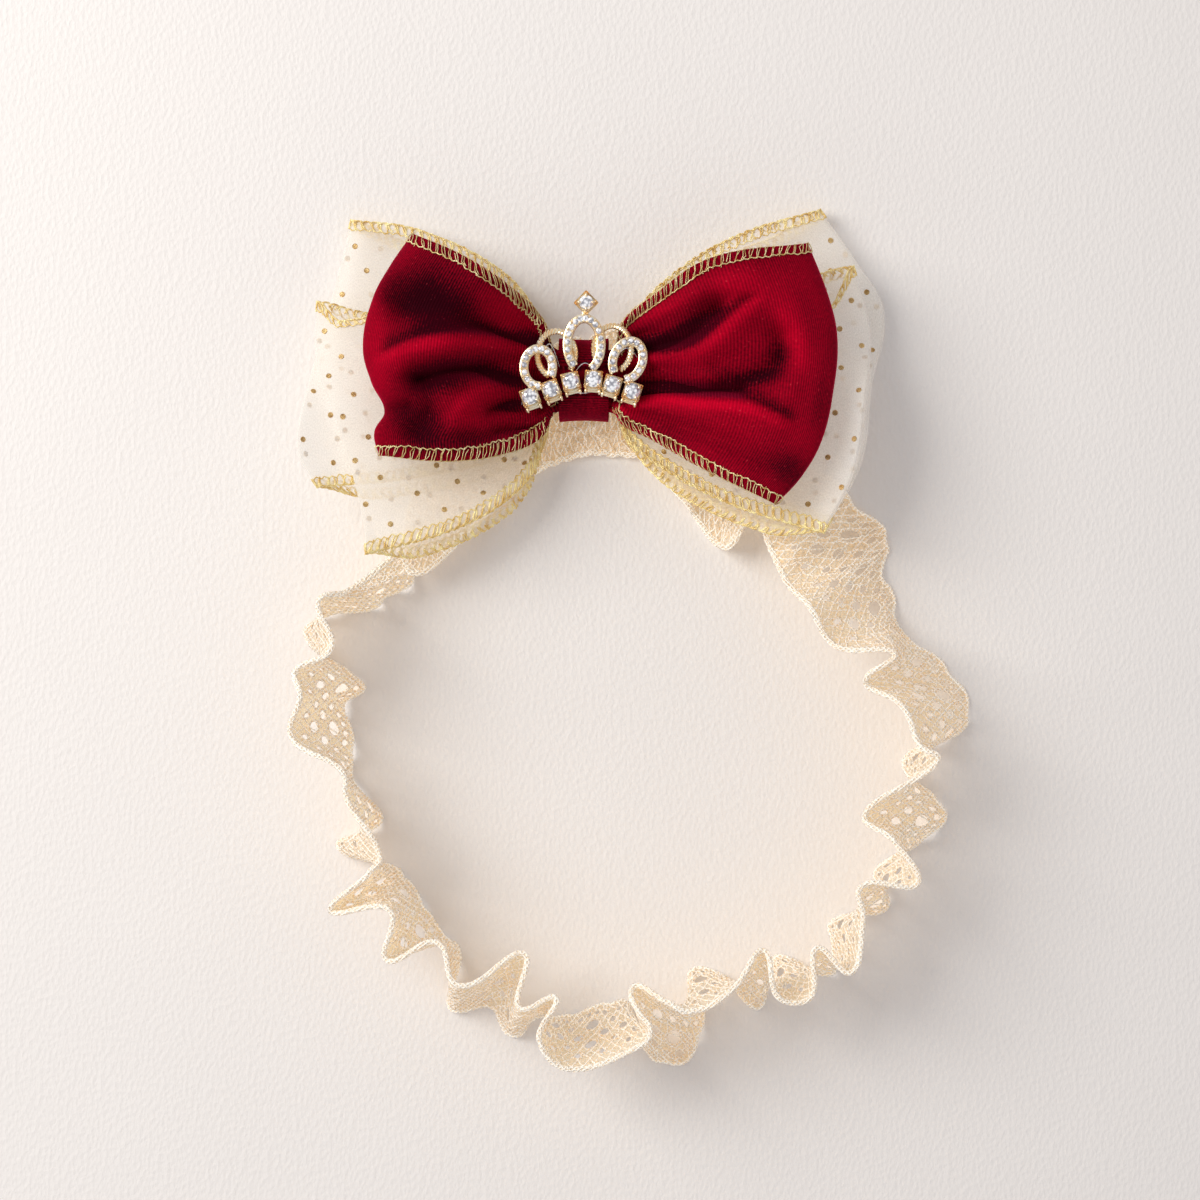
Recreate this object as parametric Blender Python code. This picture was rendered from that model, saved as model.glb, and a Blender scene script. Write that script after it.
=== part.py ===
"""Bow headband: a ruffled lace loop with a double organza bow, a velvet bow, its knot and a crown charm.

The headband lies on its back on a flat surface. +X is to the right and +Y is up as it is seen from above,
+Z points away from the surface. Sizes are in millimetres until the last step, which makes metres of them.
Places in the tables are those seen from VIEW_HEIGHT above the middle of the loop, so that a point that stands
high looks farther out than it is; seen_to_plan brings it back.
"""

import math
from typing import NamedTuple

import bmesh
import bpy
import numpy as np
from mathutils import Matrix, Vector

MM = 0.001
VIEW_HEIGHT = 709.0
ORIGIN_X = -7.23
ORIGIN_Y = 8.28

# Lace band
LACE_WIDTH = 27.0
LACE_WALL = 1.1
LACE_COLUMNS = 232
STEPS_IN_A_FOLD = 40
CURVE_SWELL = 0.75
CURVE_FULLNESS = 1.15
HOLE_PITCH = 4
OUTER_HOLE_SHIFT = 2
LACE_LINES = (0.0, 0.21, 0.32, 0.60, 0.70, 1.0)
OUTER_HOLE_BAND = 1
INNER_HOLE_BAND = 3
PLAIN_REACH = 12.0

# Knot, and what it holds
KNOT_X = -3.4
KNOT_Y = 46.7
KNOT_WIDTH = 10.4
KNOT_LENGTH = 17.7
KNOT_WALL = 1.2
KNOT_CORNER = 1.6
KNOT_CORNER_STEPS = 3
KNOT_WAIST = 0.035
KNOT_LOW = 1.5
KNOT_HIGH = 13.6
PINCH_SPAN = 13.4
PINCH_REACH = 6.2
PINCH_LIFT = 3.0
LAYER_GAP = 0.4
SPREAD_START = 11.0
SPREAD_END = 33.0

# Where the columns of a loop's wings lie, from the knot to the outer fold, and the rows across the ribbon
ORGANZA_ROWS = 8
VELVET_ROWS = 11
ORGANZA_FACE_STOPS = (0.0, 0.11, 0.22, 0.36, 0.52, 0.68, 0.82, 0.92, 1.0)
ORGANZA_BACK_STOPS = (0.0, 0.11, 0.28, 0.52, 0.76, 0.93, 1.0)
VELVET_FACE_STOPS = (0.0, 0.12, 0.20, 0.29, 0.39, 0.49, 0.59, 0.69, 0.78, 0.87, 0.95, 1.0)
VELVET_BACK_STOPS = (0.0, 0.12, 0.29, 0.49, 0.69, 0.87, 0.97, 1.0)

# Bow walls
ORGANZA_WALL = 1.0
VELVET_WALL = 1.2
HIGH_SIDE_LIFT = 1.0
VALLEY_CLEARANCE = 1.9
FOLD_BLUNTNESS = 0.45
FOLD_HEIGHT_SHARE = 0.45
PLEAT_EASE = 0.3
LID_MARGIN = 1.3
LOW_SIDE_FROM = 56.0
LOW_SIDE_TO = 40.0

# Crown charm
CROWN_LOW = 13.9
BAR_WIDTH = 1.7
BAR_LOW = 0.5
BAR_HIGH = 1.8
BAR_STEPS = 16
ROPE_RADIUS = 0.45
ROPE_HEIGHT = 0.65
ROPE_SIDES = 6
ROPE_STEPS = 12
FOOT_BAR_WIDTH = 1.1
FOOT_BAR_LOW = 0.2
FOOT_BAR_HIGH = 1.1
FOOT_DROP = 2.3
NECK_WIDTH = 1.4
NECK_LOW = 0.3
NECK_HIGH = 1.5
NECK_SHIFT = 0.1
NECK_BURY = 0.5
PAVE_RADIUS = 0.62
PAVE_RISE = 0.45
PAVE_BURY = 0.3
PAVE_TAPER = 0.6
PAVE_TURN = 0.3
CUP_SIDE = 3.8
CUP_HIGH = 2.25
CUP_TAPER = 0.96
STONE_RADIUS = 1.6
TOP_STONE_RADIUS = 1.5
STONE_SIDES = 8
STONE_CLEARANCE = 0.15
GIRDLE_HEIGHT = 2.5
GIRDLE_THICKNESS = 0.12
TABLE_HEIGHT = 3.2
TABLE_SHARE = 0.58
CULET_HEIGHT = 1.05
POCKET_TIP = 0.2
POCKET_LOW = 0.75
POCKET_RISE = 0.2
PRONG_RADIUS = 0.35
PRONG_CLEARANCE = 0.15
PRONG_BURY = 0.5
PRONG_HIGH = 3.0
PRONG_TAPER = 0.8


class Fold(NamedTuple):
    """One fold of the lace: where its upper edge and its scalloped foot lie."""

    top_x: float
    top_y: float
    foot_x: float
    foot_y: float


class Place(NamedTuple):
    """A place seen from above."""

    x: float
    y: float


class Pleat(NamedTuple):
    """A valley in the face of a wing, with its run across the ribbon given from 0, low edge, to 1, high edge."""

    at_knot: float
    at_middle: float
    at_fold: float
    depth: float
    start: float
    end: float
    width: float


class Wing(NamedTuple):
    """One half of a ribbon loop: its two edges from the knot out, and its outer fold from low to high edge."""

    low_edge: tuple
    high_edge: tuple
    fold: tuple
    pleats: tuple


class Layer(NamedTuple):
    """Thickness of a loop at the knot, and in its wings on the high and the low side of the bow."""

    knot: float
    high_side: float
    low_side: float
    wall: float
    squareness: float
    fold_share: float


class Arc(NamedTuple):
    """An elliptical arc of the crown, run clockwise from its start, angles in degrees."""

    x: float
    y: float
    half_width: float
    half_height: float
    lean: float
    start: float
    sweep: float
    stones: int


LACE_FOLDS = (
    Fold(-3.0, 30.0, -3.0, 56.0),
    Fold(9.0, 28.9, 10.0, 54.5),
    Fold(17.6, 21.0, 21.0, 47.5),
    Fold(26.5, 10.8, 34.0, 36.0),
    Fold(32.2, 18.0, 43.0, 31.0),
    Fold(36.6, 9.5, 57.0, 18.2),
    Fold(40.0, 2.8, 61.8, 13.0),
    Fold(44.3, -1.5, 60.2, 7.5),
    Fold(50.0, -10.0, 62.6, 0.0),
    Fold(62.5, -11.3, 64.0, -6.5),
    Fold(56.2, -17.5, 74.0, -14.5),
    Fold(64.0, -22.5, 78.4, -22.5),
    Fold(67.5, -30.5, 76.5, -28.0),
    Fold(71.3, -35.0, 64.5, -34.5),
    Fold(56.2, -45.3, 73.5, -45.0),
    Fold(62.5, -51.3, 68.0, -51.5),
    Fold(67.6, -60.5, 58.7, -57.5),
    Fold(56.0, -60.5, 61.0, -65.5),
    Fold(56.0, -68.5, 49.7, -68.0),
    Fold(53.5, -79.3, 49.5, -75.0),
    Fold(46.0, -74.0, 48.5, -80.0),
    Fold(45.0, -84.5, 38.5, -75.5),
    Fold(38.0, -84.7, 36.5, -79.0),
    Fold(34.8, -74.4, 33.0, -87.2),
    Fold(28.5, -82.5, 26.5, -80.0),
    Fold(20.5, -87.5, 19.0, -79.3),
    Fold(14.0, -85.4, 22.0, -88.5),
    Fold(8.0, -81.8, 19.0, -97.4),
    Fold(6.4, -83.8, 13.8, -99.0),
    Fold(8.2, -87.5, 10.0, -96.0),
    Fold(10.8, -91.5, 7.6, -91.0),
    Fold(8.0, -95.3, 5.2, -85.3),
    Fold(-6.5, -100.0, -4.0, -87.5),
    Fold(-13.0, -93.5, -9.0, -88.8),
    Fold(-9.3, -84.6, -14.0, -89.0),
    Fold(-17.3, -86.4, -18.5, -93.0),
    Fold(-16.3, -75.0, -24.0, -87.0),
    Fold(-29.5, -82.0, -32.0, -86.8),
    Fold(-35.0, -72.8, -29.8, -75.5),
    Fold(-45.5, -76.7, -34.5, -69.5),
    Fold(-45.0, -66.0, -39.5, -61.5),
    Fold(-57.5, -66.3, -42.3, -58.0),
    Fold(-49.3, -58.2, -43.8, -56.8),
    Fold(-47.2, -53.0, -56.2, -52.5),
    Fold(-53.7, -43.0, -46.5, -47.0),
    Fold(-55.3, -36.0, -52.5, -38.5),
    Fold(-65.7, -29.5, -52.3, -30.5),
    Fold(-64.0, -20.5, -54.0, -22.0),
    Fold(-65.0, -15.0, -50.3, -18.0),
    Fold(-57.0, -10.0, -62.5, -8.5),
    Fold(-60.0, -0.5, -58.0, -3.5),
    Fold(-54.0, 1.8, -47.5, -1.8),
    Fold(-50.6, 4.0, -46.0, 0.6),
    Fold(-45.0, 8.5, -41.0, 2.5),
    Fold(-42.6, 10.0, -39.8, 5.5),
    Fold(-40.4, 5.8, -41.8, 13.5),
    Fold(-35.8, 6.8, -40.5, 21.0),
    Fold(-27.5, 14.8, -37.0, 36.0),
    Fold(-15.5, 25.5, -22.0, 47.0),
)

# How high the lace may stand under the bow, by distance from the knot
LID_DISTANCE = (22.0, 35.0, 55.0, 65.0, 72.0)
LID_HEIGHT = (0.0, 3.6, 9.0, 16.0, 27.0)

ORGANZA_LOWER = Layer(knot=2.4, high_side=6.0, low_side=4.8, wall=ORGANZA_WALL, squareness=3.4, fold_share=0.42)
ORGANZA_UPPER = Layer(knot=2.4, high_side=6.5, low_side=5.0, wall=ORGANZA_WALL, squareness=3.4, fold_share=0.42)
VELVET = Layer(knot=3.3, high_side=12.0, low_side=10.5, wall=VELVET_WALL, squareness=3.0, fold_share=0.22)
LAYERS = (ORGANZA_LOWER, ORGANZA_UPPER, VELVET)

ORGANZA_LOWER_LEFT = Wing(
    low_edge=(Place(-12.5, 35.0), Place(-20.0, 30.5), Place(-40.0, 26.0), Place(-60.0, 24.0)),
    high_edge=(Place(-12.0, 58.5), Place(-20.5, 69.5), Place(-38.0, 78.5), Place(-52.8, 80.8)),
    fold=(Place(-60.0, 24.0), Place(-64.3, 31.5), Place(-63.6, 40.0), Place(-58.5, 58.0), Place(-52.8, 80.8)),
    pleats=(Pleat(0.70, 0.66, 0.62, 1.6, 0.1, 0.8, 0.10), Pleat(0.35, 0.38, 0.42, 1.4, 0.1, 0.7, 0.10)),
)
ORGANZA_LOWER_RIGHT = Wing(
    low_edge=(Place(6.0, 35.0), Place(14.0, 29.0), Place(30.0, 21.5), Place(48.3, 15.8)),
    high_edge=(Place(5.5, 58.5), Place(14.5, 68.5), Place(29.0, 77.5), Place(46.7, 83.0)),
    fold=(
        Place(48.3, 15.8),
        Place(55.6, 29.0),
        Place(57.9, 45.7),
        Place(60.5, 61.0),
        Place(54.5, 72.0),
        Place(46.7, 83.0),
    ),
    pleats=(Pleat(0.66, 0.62, 0.60, 1.6, 0.1, 0.8, 0.10), Pleat(0.32, 0.36, 0.40, 1.4, 0.1, 0.7, 0.10)),
)
ORGANZA_UPPER_LEFT = Wing(
    low_edge=(Place(-12.0, 33.5), Place(-16.5, 24.5), Place(-30.0, 15.5), Place(-49.7, 9.8)),
    high_edge=(Place(-12.5, 56.5), Place(-23.0, 62.0), Place(-40.0, 64.5), Place(-60.0, 63.5)),
    fold=(Place(-49.7, 9.8), Place(-51.0, 20.0), Place(-56.0, 38.0), Place(-60.5, 52.0), Place(-60.0, 63.5)),
    pleats=(Pleat(0.62, 0.60, 0.58, 1.6, 0.1, 0.8, 0.10), Pleat(0.25, 0.30, 0.36, 1.6, 0.1, 0.7, 0.10)),
)
ORGANZA_UPPER_RIGHT = Wing(
    low_edge=(Place(6.0, 34.0), Place(13.5, 28.0), Place(28.0, 20.3), Place(47.5, 14.3)),
    high_edge=(Place(6.0, 57.0), Place(17.0, 63.5), Place(36.0, 71.0), Place(53.8, 71.0)),
    fold=(Place(47.5, 14.3), Place(54.0, 27.0), Place(56.5, 42.0), Place(57.5, 57.0), Place(53.8, 71.0)),
    pleats=(Pleat(0.62, 0.60, 0.58, 1.6, 0.1, 0.8, 0.10), Pleat(0.30, 0.33, 0.36, 1.6, 0.1, 0.7, 0.10)),
)
VELVET_LEFT = Wing(
    low_edge=(Place(-12.5, 34.8), Place(-19.0, 31.6), Place(-32.0, 29.6), Place(-46.5, 30.8)),
    high_edge=(Place(-12.0, 59.4), Place(-18.5, 66.0), Place(-29.0, 73.2), Place(-39.5, 77.7)),
    fold=(
        Place(-46.5, 30.8),
        Place(-47.6, 35.5),
        Place(-45.4, 40.2),
        Place(-48.2, 46.4),
        Place(-50.0, 54.0),
        Place(-48.0, 63.8),
        Place(-44.2, 71.0),
        Place(-39.5, 77.7),
    ),
    pleats=(
        Pleat(0.36, 0.42, 0.46, 5.5, 0.10, 0.85, 0.075),
        Pleat(0.20, 0.22, 0.16, 3.5, 0.05, 0.55, 0.060),
        Pleat(0.84, 0.80, 0.72, 5.5, 0.40, 1.10, 0.130),
    ),
)
VELVET_RIGHT = Wing(
    low_edge=(Place(5.0, 37.3), Place(11.0, 34.4), Place(22.0, 28.0), Place(37.0, 20.6)),
    high_edge=(Place(4.6, 58.8), Place(10.8, 64.4), Place(24.0, 72.8), Place(43.8, 75.8)),
    fold=(
        Place(37.0, 20.6),
        Place(42.5, 26.5),
        Place(46.8, 34.2),
        Place(49.2, 44.5),
        Place(50.1, 55.0),
        Place(48.5, 63.5),
        Place(43.8, 75.8),
    ),
    pleats=(
        Pleat(0.42, 0.36, 0.50, 5.5, 0.10, 0.90, 0.070),
        Pleat(0.66, 0.72, 0.80, 4.5, 0.10, 0.75, 0.085),
        Pleat(0.10, 0.08, 0.16, 3.0, 0.55, 1.10, 0.090),
    ),
)

CROWN_BARS = (
    Arc(-13.1, 49.4, 3.05, 3.95, 0.0, 280.0, 311.0, 13),
    Arc(-3.35, 54.2, 3.6, 5.6, 0.0, 236.0, 303.0, 17),
    Arc(5.9, 50.9, 3.1, 4.2, -20.0, 236.0, 313.0, 13),
)
CROWN_ROPES = (
    Arc(-9.3, 52.2, 4.0, 4.9, 0.0, 245.0, 285.0, 0),
    Arc(2.7, 53.4, 3.95, 4.85, 0.0, 220.0, 285.0, 0),
)
BOTTOM_STONES = (
    Place(-14.85, 43.1),
    Place(-10.45, 44.7),
    Place(-6.19, 46.4),
    Place(-1.40, 46.8),
    Place(2.60, 45.7),
    Place(6.85, 44.3),
)
TOP_STONE = Place(-2.94, 63.1)


def clear_scene():
    """Empty the scene."""
    for old in list(bpy.data.objects):
        bpy.data.objects.remove(old)


def smooth(value, start, end):
    """Ease from 0 at start to 1 at end."""
    part = min(max((value - start) / (end - start), 0.0), 1.0)
    return part * part * (3.0 - 2.0 * part)


def mix(first, second, part):
    """Blend two values."""
    return first + (second - first) * part


def seen_to_plan(x, y, z):
    """Bring a place seen from above, of a point at height z, back to where it lies."""
    pull = 1.0 - z / VIEW_HEIGHT
    return Vector((x * pull + ORIGIN_X, y * pull + ORIGIN_Y, z))


def through(rows, at, closed=False):
    """Point of the smooth curve through the rows, at a place counted in rows."""
    count = len(rows)
    start = int(math.floor(at)) if closed else min(int(at), count - 2)
    part = at - start

    def row(index):
        index = index % count if closed else min(max(index, 0), count - 1)
        return np.array(rows[index], dtype=float)

    before, first, second, after = (row(start + step) for step in (-1, 0, 1, 2))
    chord = float(np.linalg.norm(second - first))
    leaving = lean_along(second - before, chord)
    coming = lean_along(after - first, chord)
    square = part * part
    cube = square * part
    return (
        (2.0 * cube - 3.0 * square + 1.0) * first
        + (cube - 2.0 * square + part) * leaving
        + (3.0 * square - 2.0 * cube) * second
        + (cube - square) * coming
    )


def lean_along(across, chord):
    """Slope of a curve at a row, along the line between its neighbours and no longer than its stretch allows."""
    length = float(np.linalg.norm(across))
    return across * min(CURVE_SWELL, CURVE_FULLNESS * chord / max(length, 1e-6))


def along(rows, part):
    """Point of the open curve through the rows, at a part of its length from 0 to 1."""
    places = np.array(rows, dtype=float)
    lengths = np.concatenate(([0.0], np.cumsum(np.linalg.norm(np.diff(places, axis=0), axis=1))))
    at = np.interp(part * lengths[-1], lengths, np.arange(len(rows)))
    return through(rows, at)


def knot_distance(x, y):
    """Distance from the middle of the knot, seen from above."""
    return math.hypot(x - KNOT_X, y - KNOT_Y)


def lace_lid(x, y):
    """Greatest height of the lace at a place, where the bow presses on it."""
    return float(np.interp(knot_distance(x, y), LID_DISTANCE, LID_HEIGHT))


def lace_place(at, rise):
    """Point of the lace, at a place counted in folds, and a rise from 0 at the foot to 1 at the upper edge."""
    top_x, top_y = through([(fold.top_x, fold.top_y) for fold in LACE_FOLDS], at, closed=True)
    foot_x, foot_y = through([(fold.foot_x, fold.foot_y) for fold in LACE_FOLDS], at, closed=True)
    spread = math.hypot(top_x - foot_x, top_y - foot_y)
    stand = math.sqrt(max(LACE_WIDTH * LACE_WIDTH - spread * spread, 0.0))
    x = mix(foot_x, top_x, rise)
    y = mix(foot_y, top_y, rise)
    height = min(stand * rise, lace_lid(x, y))
    slope = min(stand, lace_lid(top_x, top_y))
    foot_height = 0.5 * LACE_WALL * math.sqrt(spread / math.hypot(spread, slope))
    return seen_to_plan(x, y, height + foot_height)


def lace_stations():
    """Places of the columns, evenly spaced along the lace and counted in folds."""
    fine = np.linspace(0.0, len(LACE_FOLDS), STEPS_IN_A_FOLD * len(LACE_FOLDS) + 1)
    edges = [(lace_place(at, 0.0), lace_place(at, 1.0)) for at in fine]
    steps = [0.0]
    for index in range(1, len(fine)):
        foot_step = (edges[index][0] - edges[index - 1][0]).length
        top_step = (edges[index][1] - edges[index - 1][1]).length
        steps.append(0.5 * (foot_step + top_step))
    lengths = np.cumsum(steps)
    wanted = np.arange(LACE_COLUMNS) / LACE_COLUMNS * lengths[-1]
    return np.interp(wanted, lengths, fine)


def make_lace(name):
    """The lace as one ruffled strip with its rows of large holes cut through."""
    shape = bmesh.new()
    lines = []
    for at in lace_stations():
        lines.append([shape.verts.new(lace_place(at, rise) * MM) for rise in LACE_LINES])
    for column in range(LACE_COLUMNS):
        here = lines[column]
        there = lines[(column + 1) % LACE_COLUMNS]
        middle = 0.5 * (here[0].co + here[-1].co)
        plain = math.hypot(middle.x / MM - ORIGIN_X - KNOT_X, middle.y / MM - ORIGIN_Y - KNOT_Y) < PLAIN_REACH
        for band in range(len(LACE_LINES) - 1):
            outer_hole = band == OUTER_HOLE_BAND and column % HOLE_PITCH == OUTER_HOLE_SHIFT
            inner_hole = band == INNER_HOLE_BAND and column % HOLE_PITCH == 0
            if (outer_hole or inner_hole) and not plain:
                continue
            shape.faces.new((here[band], there[band], there[band + 1], here[band + 1]))
    return finish_wall(shape, name, LACE_WALL, LACE_COLOUR)


def layer_heights(index, x, y):
    """Lowest and highest point of a loop's space at a place."""
    distance = knot_distance(x, y)
    spread = smooth(distance, SPREAD_START, SPREAD_END)
    low_side = smooth(y, LOW_SIDE_FROM, LOW_SIDE_TO)
    over_floor = mix(PINCH_LIFT, HIGH_SIDE_LIFT, spread)
    over_lace = max(PINCH_LIFT, lace_lid(x, y) + LID_MARGIN)
    low = mix(over_floor, over_lace, low_side)
    for layer in LAYERS[: index + 1]:
        high = low + mix(layer.knot, mix(layer.high_side, layer.low_side, low_side), spread)
        if layer is LAYERS[index]:
            return low, high
        low = high + LAYER_GAP
    raise ValueError(index)


def pleat_depth(wing, out, across):
    """Depth of the valleys in a wing's face, at a part of its length out and a part of its width across."""
    depth = 0.0
    for pleat in wing.pleats:
        if out < 0.5:
            line = mix(pleat.at_knot, pleat.at_middle, smooth(out, 0.0, 0.5))
        else:
            line = mix(pleat.at_middle, pleat.at_fold, smooth(out, 0.5, 1.0))
        ease = PLEAT_EASE * (pleat.end - pleat.start)
        run = smooth(out, pleat.start, pleat.start + ease)
        run *= 1.0 - smooth(out, pleat.end - ease, pleat.end)
        depth += pleat.depth * run * math.exp(-(((across - line) / pleat.width) ** 2))
    return depth


def wing_plan(wing, out, across):
    """Place on a wing, seen from above, blended from its four edges."""
    pinch_low = Place(KNOT_X, KNOT_Y - 0.5 * PINCH_SPAN)
    pinch_high = Place(KNOT_X, KNOT_Y + 0.5 * PINCH_SPAN)
    mouth_x = KNOT_X + math.copysign(PINCH_REACH, wing.fold[0].x)
    low = along((pinch_low, Place(mouth_x, pinch_low.y)) + wing.low_edge, out)
    high = along((pinch_high, Place(mouth_x, pinch_high.y)) + wing.high_edge, out)
    pinch = np.array(pinch_low) + (np.array(pinch_high) - np.array(pinch_low)) * across
    fold = along(wing.fold, across)
    low_corner = (1.0 - out) * np.array(pinch_low) + out * np.array(wing.fold[0])
    high_corner = (1.0 - out) * np.array(pinch_high) + out * np.array(wing.fold[-1])
    edges = (1.0 - across) * (low - low_corner) + across * (high - high_corner)
    return (1.0 - out) * pinch + out * fold + edges


def wing_place(index, wing, out, across, face):
    """Point of a wing's face or back, at a part of its length from 0 at the knot to 1 at the outer fold."""
    layer = LAYERS[index]
    closing = mix(layer.fold_share, 1.0, (1.0 - out**layer.squareness) ** FOLD_BLUNTNESS)
    x, y = wing_plan(wing, out, across)
    low, high = layer_heights(index, x, y)
    low += 0.5 * layer.wall
    high -= 0.5 * layer.wall
    fold_height = mix(low, high, FOLD_HEIGHT_SHARE)
    if face:
        room = max(high - low - VALLEY_CLEARANCE * layer.wall, 0.0)
        valley = min(pleat_depth(wing, out, across), room)
        height = mix(fold_height, high - valley, closing)
    else:
        height = mix(fold_height, low, closing)
    return seen_to_plan(x, y, height)


def make_bow(name, index, wings, grid, colour):
    """A ribbon loop: one closed band through both wings, pinched in the middle."""
    right, left = wings
    face_stops, back_stops, across_steps = grid
    ring = [(right, out, True) for out in face_stops]
    ring += [(right, out, False) for out in reversed(back_stops[1:])]
    ring += [(left, out, False) for out in back_stops]
    ring += [(left, out, True) for out in reversed(face_stops[1:])]
    shape = bmesh.new()
    lines = []
    for wing, out, face in ring:
        line = []
        for step in range(across_steps + 1):
            place = wing_place(index, wing, out, step / across_steps, face)
            line.append(shape.verts.new(place * MM))
        lines.append(line)
    for column, here in enumerate(lines):
        there = lines[(column + 1) % len(lines)]
        for step in range(across_steps):
            shape.faces.new((here[step], there[step], there[step + 1], here[step + 1]))
    return finish_wall(shape, name, LAYERS[index].wall, colour)


def finish_wall(shape, name, wall, colour):
    """Turn an open surface into a wall of even thickness around it."""
    bmesh.ops.recalc_face_normals(shape, faces=shape.faces)
    piece = add_object(shape, name, colour)
    thicken = piece.modifiers.new("wall", "SOLIDIFY")
    thicken.thickness = wall * MM
    thicken.offset = 0.0
    thicken.use_even_offset = False
    return piece


def make_knot(name):
    """The strap round the pinch: a flat tube with round corners."""
    middle = seen_to_plan(KNOT_X, KNOT_Y, 0.5 * (KNOT_LOW + KNOT_HIGH))
    shape = bmesh.new()
    half_length = 0.5 * KNOT_LENGTH - 0.5 * KNOT_WALL
    low = KNOT_LOW + 0.5 * KNOT_WALL
    high = KNOT_HIGH - 0.5 * KNOT_WALL
    outline = []
    for sign_y, sign_z, start in ((1, 1, 0), (-1, 1, 90), (-1, -1, 180), (1, -1, 270)):
        centre_y = sign_y * (half_length - KNOT_CORNER)
        centre_z = (high - KNOT_CORNER) if sign_z > 0 else (low + KNOT_CORNER)
        for step in range(KNOT_CORNER_STEPS + 1):
            angle = math.radians(start + 90.0 * step / KNOT_CORNER_STEPS)
            outline.append((centre_y + KNOT_CORNER * math.cos(angle), centre_z + KNOT_CORNER * math.sin(angle)))
    lines = []
    for side in (-0.5, 0.0, 0.5):
        waist = 1.0 - KNOT_WAIST * math.cos(math.pi * side)
        line = [
            shape.verts.new(Vector((middle.x + side * KNOT_WIDTH, middle.y + y * waist, z)) * MM)
            for y, z in outline
        ]
        lines.append(line)
    for here, there in zip(lines, lines[1:]):
        for index in range(len(outline)):
            after = (index + 1) % len(outline)
            shape.faces.new((here[index], there[index], there[after], here[after]))
    return finish_wall(shape, name, KNOT_WALL, VELVET_COLOUR)


def arc_place(arc, part):
    """Place on a crown arc, at a part of its sweep."""
    angle = math.radians(arc.start - part * arc.sweep)
    lean = math.radians(arc.lean)
    right = arc.half_width * math.cos(angle)
    up = arc.half_height * math.sin(angle)
    x = arc.x + right * math.cos(lean) - up * math.sin(lean)
    y = arc.y + right * math.sin(lean) + up * math.cos(lean)
    return Vector((x, y, 0.0))


def flat_section(width, low, high):
    """Section of a flat bar, as (side, height) places."""
    half = 0.5 * width
    return (-half, low), (half, low), (half, high), (-half, high)


def sweep_section(shape, path, section):
    """Run a closed section of (side, height) places along an open level path, and cap its ends."""
    rings = []
    for index, place in enumerate(path):
        before = path[max(index - 1, 0)]
        after = path[min(index + 1, len(path) - 1)]
        ahead = (after - before).normalized()
        side = Vector((ahead.y, -ahead.x, 0.0))
        rings.append([shape.verts.new(place + side * across + Vector((0, 0, up))) for across, up in section])
    for here, there in zip(rings, rings[1:]):
        for index in range(len(section)):
            after = (index + 1) % len(section)
            shape.faces.new((here[index], here[after], there[after], there[index]))
    shape.faces.new(list(reversed(rings[0])))
    shape.faces.new(rings[-1])


def add_prism(shape, x, y, radius, low, high, sides, turn, taper=1.0):
    """Add an upright prism, or a cone frustum where the taper isn't 1."""
    made = bmesh.ops.create_cone(
        shape, cap_ends=True, cap_tris=False, segments=sides, radius1=radius, radius2=radius * taper,
        depth=high - low,
    )
    place = Matrix.Translation((x, y, 0.5 * (low + high))) @ Matrix.Rotation(turn, 4, "Z")
    bmesh.ops.transform(shape, matrix=place, verts=made["verts"])


def bottom_turn(index):
    """Direction of the crown's bottom row at a stone."""
    before = BOTTOM_STONES[max(index - 1, 0)]
    after = BOTTOM_STONES[min(index + 1, len(BOTTOM_STONES) - 1)]
    return math.atan2(after.y - before.y, after.x - before.x)


def settings():
    """Every main stone's place, radius and turn, from left to right and then the top one."""
    rows = [(place.x, place.y, STONE_RADIUS, bottom_turn(index)) for index, place in enumerate(BOTTOM_STONES)]
    rows.append((TOP_STONE.x, TOP_STONE.y, TOP_STONE_RADIUS, 0.25 * math.pi))
    return rows


def place_crown(shape):
    """Bring the crown from the places seen to where it lies, in metres."""
    for vert in shape.verts:
        height = CROWN_LOW + vert.co.z
        plan = seen_to_plan(vert.co.x, vert.co.y, CROWN_LOW)
        vert.co = Vector((plan.x, plan.y, height)) * MM


def add_tool(shape, name):
    """Add a helper body for the crown's joins and cuts, left out of the model."""
    bmesh.ops.recalc_face_normals(shape, faces=shape.faces)
    place_crown(shape)
    tool = add_object(shape, name, GOLD)
    tool.hide_render = True
    tool.display_type = "WIRE"
    return tool


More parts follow.
